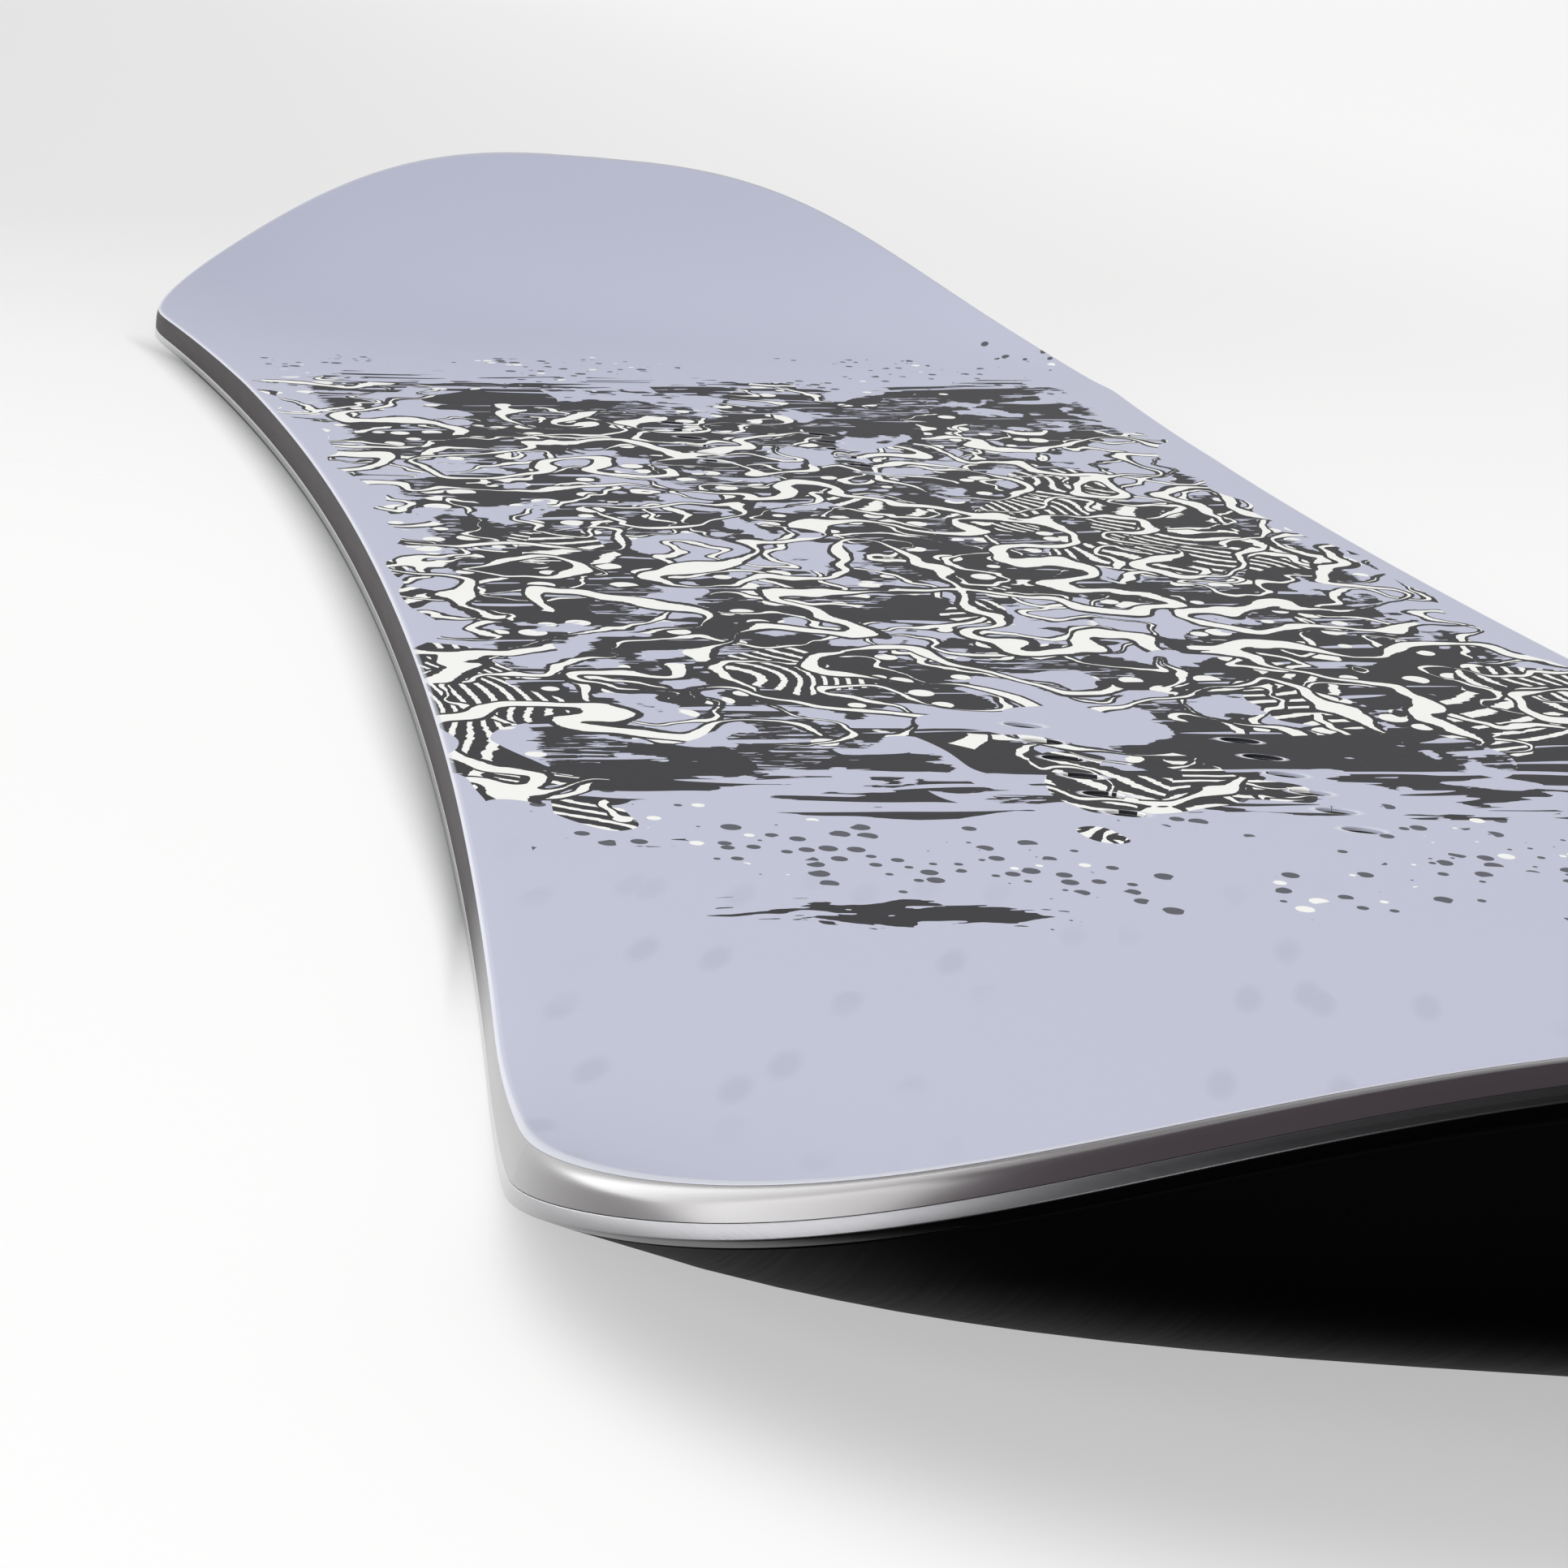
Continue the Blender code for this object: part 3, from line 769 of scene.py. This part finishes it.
def from_top(depth):
    """A level that is measured down from the top of the board, which thins towards the ends."""

    def level(x):
        share = np.clip((HALF_LENGTH - np.abs(x)) / TAPER_LENGTH, 0.0, 1.0)
        return TIP_THICKNESS + (MIDDLE_THICKNESS - TIP_THICKNESS) * share - depth

    return level


def towards_ends(at_sides, at_ends):
    """A size that changes softly from its value along the sides to that round the ends."""

    def size(x):
        share = (np.abs(x) - ROUND_END_START) / (ROUND_END_FULL - ROUND_END_START)
        share = np.clip(share, 0.0, 1.0)
        return at_sides + (at_ends - at_sides) * share * share * (3 - 2 * share)

    return size


rounding = towards_ends(0.00022, 0.00090)
roll_width = towards_ends(0.00055, 0.00130)
roll_drop = towards_ends(0.00038, 0.00085)
film_edge = towards_ends(0.00012, 0.00010)


def wall_top(x):
    return from_top(roll_drop(x) + film_edge(x) + WALL_GAP)(x)


def wall_face(side):
    """The outer face of the rim between steel edge and topsheet, from its foot upwards."""
    face = []
    for t in np.linspace(0.0, 1.0, FACE_STEPS + 1):
        if t < FACE_BELLY:
            reach = (FACE_BELLY - t) / FACE_FOOT_FLATNESS
        else:
            reach = (t - FACE_BELLY) / (1 - FACE_BELLY)

        def inset(x, reach=reach):
            return rounding(x) * reach**2 + FACE_INSET

        def level(x, t=t):
            return WALL_LOW + (wall_top(x) - WALL_LOW) * t

        face.append((inset, side, level))
    return face


def wall_ring(side, inner):
    """The section of a sidewall: its face, its lip under the topsheet and its inner side."""
    top = from_top(CORE_TOP_DEPTH)
    return wall_face(side) + [
        (LIP_WIDTH, side, wall_top),
        (LIP_WIDTH + LIP_SLOPE, side, top),
        (inner, side, top),
        (inner, side, RIM_LAMINATE_TOP),
        (LIP_WIDTH + LIP_SLOPE, side, RIM_LAMINATE_TOP),
        (LIP_WIDTH, side, WALL_LOW),
    ]


def rim_plastic(name):
    """Dark moulded plastic, milled along the rim and polished round the tail."""
    finish = Finish(name, coat_roughness=0.2)
    finish.shine(0.008)
    finish.coat(1.0 - finish.along("X").fade(POLISHED_UP_TO, MILLED_FROM))
    mill = finish.noise(1.0, 3.0, 0.6, finish.stretch((30.0, 30.0, 2600.0)))
    cloudy = finish.noise(18.0, 3.0)
    finish.color(finish.blend(cloudy, (0.034, 0.027, 0.031, 1), (0.048, 0.039, 0.045, 1)))
    finish.roughness(0.26 + mill * 0.10 + cloudy * 0.06)
    finish.bump(mill, 0.000012)
    return finish


sidewall_plastic = rim_plastic("sidewall_plastic")
for side, mark in ((1, "left"), (-1, "right")):
    wall_end = CORE_HALF_LENGTH - WALL_END_GAP
    ring = wall_ring(side, SIDEWALL_WIDTH)
    wall = press(f"sidewall_bar_{mark}", stations(-wall_end, wall_end), ring)
    sidewall_plastic.cover(wall)
    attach(wall, "root")
    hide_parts(f"sidewall_{mark}")


# Nose and tail spacers. Pieces of the same dark plastic that carry on from core and sidewalls
# to the tips, where a wood core would be too thin. Their rim is milled with the sidewalls.

SPACER_STEP_INSET = 0.0093
LAMINATE_TOP = 0.0024

spacer_plastic = rim_plastic("spacer_plastic")
spacer_low = [(LIP_WIDTH, WALL_LOW), (LIP_WIDTH + LIP_SLOPE, RIM_LAMINATE_TOP)]
spacer_low += [(SPACER_STEP_INSET, RIM_LAMINATE_TOP), (FLAT_INSET, LAMINATE_TOP)]
spacer_high = [(inset, level) for inset, _, level in wall_face(1)]
spacer_high += [
    (LIP_WIDTH, wall_top),
    (LIP_WIDTH + LIP_SLOPE, from_top(CORE_TOP_DEPTH)),
    (FLAT_INSET, from_top(CORE_TOP_DEPTH)),
]
for name, first, last in (
    ("nose", CORE_HALF_LENGTH, HALF_LENGTH),
    ("tail", -HALF_LENGTH, -CORE_HALF_LENGTH),
):
    spacer = press(f"{name}_end_block", stations(first, last), sheet_ring(spacer_low, spacer_high))
    spacer_plastic.cover(spacer)
    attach(spacer, "root")
    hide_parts(f"{name}_spacer")


# Topsheet. A lavender plastic film with its print on the underside, glued over the upper
# laminate, rolled down at the rim by the press and bored open over every insert.

TOPSHEET_THICKNESS = 0.0007
HOLE_RADIUS = 0.0035
HOLE_CHAMFER = 0.0002
DRILL_LENGTH = 0.02
SINK_OVERSHOOT = 3.0
ROLL_STEPS = 8
FLAT_TOP_INSET = 0.0060


def rolled(share, extra=0.0):
    """A point of the rolled rim, from the outer edge at 0 to the flat top at 1."""

    def inset(x):
        return rounding(x) + roll_width(x) * share + FACE_INSET

    def level(x):
        return from_top(roll_drop(x) * (1 - share) ** 2 + film_edge(x) * extra)(x)

    return inset, level


top_low = [
    rolled(0.0, 1.0),
    (LIP_WIDTH + LIP_SLOPE, from_top(TOPSHEET_THICKNESS)),
    (FLAT_INSET, from_top(TOPSHEET_THICKNESS)),
]
top_high = [rolled(step / ROLL_STEPS) for step in range(ROLL_STEPS + 1)]
top_high += [(FLAT_TOP_INSET, from_top(0.0)), (FLAT_INSET, from_top(0.0))]
film = press("topsheet_film", stations(), sheet_ring(top_low, top_high))

bore_growth = Growth(
    "bored_film",
    **pattern_sizes,
    **{
        "Hole Radius": HOLE_RADIUS,
        "Chamfer": HOLE_CHAMFER,
        "Top": MIDDLE_THICKNESS,
        "Drill Length": DRILL_LENGTH,
    },
)
drill = bore_growth.add(
    "GeometryNodeMeshCylinder",
    None,
    {
        "Vertices": 40,
        "Radius": bore_growth.given("Hole Radius"),
        "Depth": bore_growth.given("Drill Length"),
    },
    "Mesh",
)
sink_size = bore_growth.given("Chamfer") * SINK_OVERSHOOT
countersink = bore_growth.add(
    "GeometryNodeMeshCone",
    None,
    {
        "Vertices": 40,
        "Radius Bottom": bore_growth.given("Hole Radius"),
        "Radius Top": bore_growth.given("Hole Radius") + sink_size,
        "Depth": sink_size,
    },
    "Mesh",
)
sink_place = bore_growth.point(z=bore_growth.given("Top") - bore_growth.given("Chamfer"))
countersink = bore_growth.add(
    "GeometryNodeTransform", None, {"Geometry": countersink, "Translation": sink_place}
)
cutter = bore_growth.add(
    "GeometryNodeMeshBoolean", {"operation": "UNION", "solver": "EXACT"}, output="Mesh"
)
cutter = bore_growth.gather((drill, countersink), cutter, 1)
holes = bore_growth.add(
    "GeometryNodeInstanceOnPoints",
    None,
    {"Points": insert_points(bore_growth), "Instance": cutter},
)
holes = bore_growth.add("GeometryNodeRealizeInstances", None, {"Geometry": holes})
bored = bore_growth.add(
    "GeometryNodeMeshBoolean",
    {"operation": "DIFFERENCE", "solver": "EXACT"},
    {0: bore_growth.given("Geometry"), 1: holes},
    "Mesh",
)
bore_growth.end(bored)

LAVENDER = (0.545, 0.560, 0.680, 1)
MOTTLED_LAVENDER = (0.515, 0.530, 0.650, 1)
NOSE_PAINTED_SHADE = (0.43, 0.445, 0.565, 1)
SPOT_GREY = (0.40, 0.41, 0.51, 1)
INK = (0.034, 0.034, 0.038, 1)
CHALK = (0.93, 0.93, 0.90, 1)
SIDE_LIP_HIGHLIGHT = (0.62, 0.63, 0.70, 1)
END_LIP = (0.50, 0.51, 0.57, 1)
HIGHLIGHT_LINE_COLOR = (0.66, 0.675, 0.78, 1)
BAND_START = -0.385
BAND_END = 0.525
REAR_BREAKUP = 0.20
FRONT_BREAKUP = 0.18
ROW_SLANT = 0.61
ROW_TURN = 0.55
BAND_BORDER = 0.011
SQUARE_MARGIN = 0.006
CORD_OVERHANG = 0.004
SIDECUT_REACH = 0.6
SLOPE_STEP = 0.0004
LEAST_SLOPE = 3.0
FAN_GAP_SHARE = 0.64
SPLASH_ROW = -0.415
SPLASH_ACROSS = 0.072
SPLASH_LENGTH = 0.014
SPLASH_WIDTH = 0.030
LIP_EDGE = (0.00045, 0.00085)
HIGHLIGHT_LINE_START = (0.0005, 0.0008)
HIGHLIGHT_LINE_END = (0.0009, 0.0014)
LIP_GROWTH = 0.0012

print_finish = Finish("topsheet_plastic", coat_roughness=0.12)
print_finish.shine(0.006)
x = print_finish.along("X")
y = print_finish.along("Y")
row = x + y * (x * ROW_TURN + ROW_SLANT)
row_place = print_finish.point(row, y)


def sway(scale, amount, place, shift):
    """The place, pushed about by a slow noise, so that lines drawn on it curl."""
    moved = print_finish.vector("ADD", place, (shift, shift * 0.6, shift))
    push = print_finish.noise(scale, 2.0, 0.5, moved, "Color")
    push = print_finish.vector("SUBTRACT", push, (0.5, 0.5, 0.5))
    push = print_finish.stretch((amount, amount, 0.0), push)
    return print_finish.vector("ADD", moved, push)


def flecks(place, scale):
    """Scattered dots: the distance from the nearest one and its own random colour."""
    values = {"Vector": place, "Scale": scale}
    near = print_finish.add("ShaderNodeTexVoronoi", {"voronoi_dimensions": "2D"}, values)
    return near, print_finish.add("ShaderNodeSeparateColor", None, {0: near.output("Color")})


def strip(edge, start, full, fading, gone):
    """1 in a strip of rows beside this edge of the band, with soft sides."""
    return row.fade(edge + start, edge + full) * (1.0 - row.fade(edge + fading, edge + gone))


def cords(scale, shift, core_width, outline_width):
    """Winding cords that swell, thin out and break off: the share of outline and of pale core.
    They follow a level line of a slow noise. Height over slope is the distance from that line."""
    curled = sway(scale * 0.9, 1.1 / scale, long_place, shift)
    course = print_finish.noise(scale, 0.6, 0.5, curled)
    slopes = []
    for step in ((SLOPE_STEP, 0.0, 0.0), (0.0, SLOPE_STEP, 0.0)):
        nearby = print_finish.vector("ADD", curled, step)
        slopes.append((print_finish.noise(scale, 0.6, 0.5, nearby) - course) / SLOPE_STEP)
    slope = (slopes[0] * slopes[0] + slopes[1] * slopes[1]).root()
    gap = abs(course - 0.5) / (slope + LEAST_SLOPE) + (ragged - 0.5) * 0.0007
    swell = print_finish.noise(scale * 0.9, 1.0, 0.5, sway(9.0, 0.03, long_place, shift + 2.3))
    swell = swell.fade(0.30, 0.66)
    core = gap < swell * core_width
    outline = gap < swell * core_width + outline_width
    present = print_finish.noise(scale * 0.55, 1.0, 0.5, curled) > 0.38
    return outline * present, core * present


# The print is a wild linocut. Torn dark shapes run across the board, gouged with fine lines
# and dots, and pale cords with dark outlines wind over them.
long_place = print_finish.stretch((0.58, 1.0, 0.0), row_place)
ragged = print_finish.noise(1.0, 2.0, 0.6, print_finish.stretch((420.0, 100.0, 0.0), row_place))
torn = print_finish.noise(25.0, 3.0, 0.6, sway(12.0, 0.04, long_place, 3.7))
shapes = torn + (ragged - 0.5) * 0.07 > 0.475

fan_place = sway(11.0, 0.10, long_place, 5.5)
fan_split = print_finish.add("ShaderNodeSeparateXYZ", values={0: fan_place})
fan_turn = print_finish.noise(7.0, 0.0, 0.5, long_place) > 0.5
fan_course = fan_split.output("Y") * (fan_turn * 170.0 + 60.0)
fan_course = fan_course + fan_split * (fan_turn * -240.0 + 150.0)
fan = (fan_course + ragged * 0.35).waves()
fan_field = print_finish.noise(17.0, 2.0, 0.5, sway(8.0, 0.05, long_place, 9.2))
fan_zone = fan_field > row.fade(0.10, 0.40) * 0.20 + 0.56
fan_chalk = (fan > FAN_GAP_SHARE) * fan_zone
fan_gap = fan_zone * (fan < FAN_GAP_SHARE)

gouge_zone = print_finish.noise(30.0, 1.0, 0.5, sway(12.0, 0.03, long_place, 1.3)) > 0.57
gouged = (ragged > 0.57) * gouge_zone
dots, dot_lot = flecks(long_place, 105.0)
dotted = (dots < dot_lot.output("Green") * 0.22 + 0.16) * (dot_lot < 0.45)

wide_outline, wide_core = cords(30.0, 0.0, core_width=0.0021, outline_width=0.0013)
fine_outline, fine_core = cords(52.0, 8.1, core_width=0.0010, outline_width=0.0009)
fine_core = fine_core * (1.0 - wide_outline)
fan_chalk = fan_chalk * (1.0 - wide_outline) * (1.0 - fine_outline)
line_ink = wide_outline.most(fine_outline).most(fan_gap)
line_chalk = wide_core.most(fine_core).most(fan_chalk)
line_chalk = line_chalk.most(dotted * shapes * (1.0 - line_ink))
dark_field = shapes * (1.0 - gouged)

# Its ends break up into dry brush strokes across the board, broader towards the nose, and its
# sides are cut off square.
stroke_place = print_finish.point(row * 34.0 - row * row * 15.0, y * 30.0)
strokes = print_finish.noise(1.0, 2.0, 0.45, sway(0.4, 1.3, stroke_place, 1.3))
rear = (row - BAND_START) / REAR_BREAKUP
front = (BAND_END - row) / FRONT_BREAKUP
depth_in = rear.least(front)
edge_room = WAIST_WIDTH / 2 + x * x * (SIDECUT_DEPTH / SIDECUT_REACH**2) - abs(y)
square_cut = edge_room + (ragged - 0.5) * 0.012 > BAND_BORDER + SQUARE_MARGIN
cord_cut = edge_room + (fan_field - 0.5) * 0.05 > BAND_BORDER - CORD_OVERHANG
painted = strokes + (ragged - 0.5) * 0.05 > 0.68 - depth_in.least(1.0) * 0.52
loose_end = 1.0 - depth_in.fade(0.30, 0.80)
loose_patch = print_finish.noise(20.0, 1.0, 0.5, long_place).fade(0.36, 0.64)
streak_place = print_finish.stretch((150.0, 22.0, 0.0), sway(12.0, 0.03, row_place, 4.4))
streaked = print_finish.noise(1.0, 1.0, 0.5, streak_place)
streaked = streaked > 0.60 - depth_in.fade(0.10, 0.70) * 0.25
field_ink = painted * square_cut * streaked * dark_field.most(loose_end > loose_patch)
cord_part = (depth_in + (fan_field - 0.5) * 2.6 + y * 2.0 > 0.70) * cord_cut
inked = field_ink.most(line_ink * cord_part)
chalked = line_chalk * cord_part
inked = inked * (1.0 - chalked)

# A small splash of ink lies off the rear end of the print.
splash_x = (row - SPLASH_ROW) / SPLASH_LENGTH
splash_y = (y - SPLASH_ACROSS) / SPLASH_WIDTH
splash_reach = splash_x * splash_x + splash_y * splash_y
sweep_place = print_finish.stretch((190.0, 80.0, 0.0), sway(40.0, 0.02, row_place, 6.4))
sweep = print_finish.noise(1.0, 2.0, 0.5, sweep_place)
splash = sweep + (ragged - 0.5) * 0.15 > 0.38 + splash_reach * 0.26

# Speckle thrown off by the strokes, and faint round spots over the tail.
speckle, speckle_lot = flecks(long_place, 230.0)
near_rear = strip(BAND_START, -0.06, 0.0, 0.03, 0.10)
near_front = strip(BAND_END, -0.12, -0.04, 0.0, 0.05)
clusters = print_finish.noise(16.0, 1.0, 0.5, long_place).fade(0.42, 0.62)
speckle_zone = near_rear.most(near_front) * clusters * (edge_room > BAND_BORDER)
drop = (speckle < speckle_lot.output("Green") * 0.42) * (speckle_lot < speckle_zone * 0.75)
pale_drop = drop * (speckle_lot.output("Blue") > 0.86)
dark_drop = drop * (speckle_lot.output("Blue") < 0.86)
spots, spot_lot = flecks(print_finish.point(row * 0.21, x * 0.21 + y), 100.0)
spot_zone = 1.0 - x.fade(-0.48, -0.36)
spot_group = print_finish.noise(16.0, 1.0, 0.5, row_place).fade(0.30, 0.52)
spot = (1.0 - spots.fade(0.10, 0.28)) * spot_lot.fade(0.42, 0.48) * spot_group * spot_zone

mottle = print_finish.noise(9.0, 3.0)
ground = print_finish.blend(mottle * 0.35, LAVENDER, MOTTLED_LAVENDER)
# The lavender is painted darker towards the nose and on its left side: painted shade.
nose_painted_shade = x.fade(0.25, 0.65) * y.fade(-0.12, 0.16) * 0.42
ground = print_finish.blend(nose_painted_shade, ground, NOSE_PAINTED_SHADE)
ground = print_finish.blend(spot * 0.34, ground, SPOT_GREY)
ground = print_finish.blend(inked.most(dark_drop * 0.85).most(splash), ground, INK)
ground = print_finish.blend(chalked.most(pale_drop), ground, CHALK)
# The rolled lip is painted lighter along the sides as a painted highlight and greyer round the
# ends. A thin painted highlight line runs just inside it along the sides.
inset_now = print_finish.add("ShaderNodeAttribute", {"attribute_name": "rim_inset"}, output="Fac")
round_ends = abs(x).fade(ROUND_END_START, ROUND_END_FULL)
bent = inset_now - round_ends * LIP_GROWTH
lip = 1.0 - bent.fade(*LIP_EDGE)
painted_highlight_line = bent.fade(*HIGHLIGHT_LINE_START) * (1.0 - bent.fade(*HIGHLIGHT_LINE_END))
painted_lip_color = print_finish.blend(round_ends, SIDE_LIP_HIGHLIGHT, END_LIP)
clean = print_finish.blend(lip, ground, painted_lip_color)
painted_highlight_line = painted_highlight_line * (1.0 - round_ends) * 0.5
print_finish.color(print_finish.blend(painted_highlight_line, clean, HIGHLIGHT_LINE_COLOR))
peel = print_finish.noise(700.0, 2.0)
print_finish.roughness(0.40 + peel * 0.05)
print_finish.coat(lip * (1.0 - round_ends * 0.7) * 0.35)
print_finish.bump(peel, 0.000010)

topsheet = bore_growth.run("topsheet_film_bored", film, print_finish.material)
bpy.data.objects.remove(film)
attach(topsheet, "root")
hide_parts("topsheet")


# The studio. A white floor that glows a little where it is seen directly, with painted contact
# shade beside the board and painted shade towards the far left, a high soft sun, a weak lamp on
# the tail, a white surround, and three cards that only the gloss shows: a bright window and a
# bright doorway on the left, and the dark side of the room behind the camera.

FLOOR_REACH = 80.0
FLOOR_LEVEL = -0.0004
FLOOR_GLOW = 0.47
SURROUND_LIGHT = 0.42

floor_mesh = bpy.data.meshes.new("studio_floor")
corners = [(-1, -1), (1, -1), (1, 1), (-1, 1)]
floor_mesh.from_pydata(
    [(a * FLOOR_REACH, b * FLOOR_REACH, FLOOR_LEVEL) for a, b in corners], [], [(0, 1, 2, 3)]
)
floor = bpy.data.objects.new("studio_floor", floor_mesh)
bpy.context.scene.collection.objects.link(floor)
floor_finish = Finish("studio_floor", roughness=0.9)
floor_finish.shine(0.0)
floor_along = floor_finish.along("X")
# The floor is painted darker close beside the board as painted contact shade, and glows less
# there, except where the board is lifted off it.
contact_shade_reach = floor_along.fade(-0.46, -0.20) * 0.006 + 0.005
painted_contact_shade = floor_finish.add(
    "ShaderNodeAmbientOcclusion", {"samples": 16}, {"Distance": contact_shade_reach}, "AO"
)
lifted = (1.0 - floor_along.fade(-0.52, -0.36)).most(floor_along.fade(0.46, 0.62))
painted_contact_shade = (painted_contact_shade * painted_contact_shade).most(lifted)
tone = floor_finish.blend(painted_contact_shade, (0.05, 0.055, 0.055, 1), (0.955, 0.955, 0.95, 1))
# The floor is painted darker towards the far end and the left as painted shade, and glows less
# there.
painted_far_shade = floor_along.fade(-0.1, 1.4) * floor_finish.along("Y").fade(-1.0, 0.3) * 0.25
floor_finish.color(floor_finish.blend(painted_far_shade, tone, (0.0, 0.0, 0.0, 1)))


def seen_directly(tree):
    """1 for what the camera sees, also in a mirror or through glass, and 0 for thrown light."""
    rays = tree.add("ShaderNodeLightPath", output="Is Camera Ray")
    return rays.most(rays.output("Is Glossy Ray")).most(rays.output("Is Transmission Ray"))


glow = floor_finish.add("ShaderNodeEmission", None, {"Strength": 1.0})
glow_share = seen_directly(floor_finish) * painted_contact_shade * (1.0 - painted_far_shade) * FLOOR_GLOW
matt = Wire(floor_finish, floor_finish.shader.outputs[0])
lit = floor_finish.add("ShaderNodeMixShader", None, {0: glow_share, 1: matt, 2: glow})
floor_finish.surface(lit)
floor_finish.cover(floor)

world = bpy.data.worlds.new("studio")
bpy.context.scene.world = world
world.use_nodes = True
surround = Tree(world.node_tree)
background = world.node_tree.nodes["Background"]
brightness = seen_directly(surround) * (1.0 - SURROUND_LIGHT) + SURROUND_LIGHT
surround.feed(background.inputs["Strength"], brightness)
background.inputs["Color"].default_value = (1.0, 1.0, 1.0, 1)


def lamp(name, kind, place, target, energy, **settings):
    data = bpy.data.lights.new(name, kind)
    data.energy = energy
    for key, value in settings.items():
        setattr(data, key, value)
    light = bpy.data.objects.new(name, data)
    light.location = place
    light.rotation_euler = (Vector(target) - Vector(place)).to_track_quat("-Z", "Y").to_euler()
    light.visible_camera = False
    bpy.context.scene.collection.objects.link(light)


lamp("high_sun", "SUN", (0.5, 1.2, 3.4), (0.0, 0.0, 0.0), 1.60, angle=math.radians(85))
lamp(
    "front_fill",
    "AREA",
    (-2.2, 1.7, 0.45),
    (-0.70, 0.10, 0.0),
    38.0,
    shape="RECTANGLE",
    size=3.0,
    size_y=1.2,
)


def glossy_card(name, corners, faces, brightness, strength):
    """A large card at the edge of the studio that is seen only in the gloss of the board."""
    mesh = bpy.data.meshes.new(name)
    mesh.from_pydata(corners, [], faces)
    card = bpy.data.objects.new(name, mesh)
    bpy.context.scene.collection.objects.link(card)
    finish = Finish(name, roughness=1.0)
    color = (brightness, brightness, brightness, 1)
    first_bounce = finish.add("ShaderNodeLightPath", output="Diffuse Depth") < 0.5
    shine = finish.add("ShaderNodeEmission", None, {"Color": color, "Strength": strength})
    blocked = finish.add("ShaderNodeBsdfTransparent")
    mixed = finish.add("ShaderNodeMixShader", None, {0: first_bounce, 1: blocked, 2: shine})
    finish.surface(mixed)
    finish.cover(card)
    card.visible_camera = False
    card.visible_diffuse = False
    card.visible_transmission = False
    card.visible_shadow = False


glossy_card(
    "left_window",
    [(3.0, 1.1, 0.3), (1.6, 2.45, 0.3), (1.6, 2.45, 2.1), (3.0, 1.1, 2.1)],
    [(0, 1, 2, 3)],
    brightness=1.0,
    strength=5.0,
)
glossy_card(
    "left_doorway",
    [(1.6, 2.45, 0.3), (0.2, 2.9, 0.25), (0.2, 2.9, 1.5), (1.6, 2.45, 2.1)],
    [(0, 1, 2, 3)],
    brightness=1.0,
    strength=9.0,
)
glossy_card(
    "dark_side",
    [
        (-2.3, -3.0, 0.0),
        (-0.70, -3.0, 0.0),
        (-0.70, 0.16, 0.0),
        (-0.66, 0.20, 0.0),
        (-0.66, 3.0, 0.0),
        (-2.3, 3.0, 0.0),
        (-2.3, -3.0, 3.0),
        (-2.3, 3.0, 3.0),
        (2.3, 3.0, 0.0),
        (2.3, 3.0, 3.0),
        (2.3, -3.0, 3.0),
    ],
    [(0, 1, 2, 3, 4, 5), (0, 5, 7, 6), (4, 8, 9, 7), (6, 7, 9, 10)],
    brightness=0.004,
    strength=1.0,
)

CAMERA_PLACE = Vector((-1.31146, 0.22049, 0.15446))
CAMERA_TARGET = Vector((-0.01366, 0.03086, -0.03620))
CAMERA_ROLL = 0.09136
FOCAL_PIXELS = 7570.2
PHOTO_WIDTH = 1932.0

lens = bpy.data.cameras.new("camera")
lens.sensor_width = 36.0
lens.lens = FOCAL_PIXELS / PHOTO_WIDTH * lens.sensor_width
lens.clip_start = 0.01
lens.clip_end = 200.0
camera = bpy.data.objects.new("camera", lens)
aim = (CAMERA_TARGET - CAMERA_PLACE).to_track_quat("-Z", "Y").to_matrix().to_4x4()
camera.matrix_world = Matrix.Translation(CAMERA_PLACE) @ aim @ Matrix.Rotation(CAMERA_ROLL, 4, "Z")
bpy.context.scene.collection.objects.link(camera)
bpy.context.scene.camera = camera
bpy.context.scene.view_settings.view_transform = "Standard"
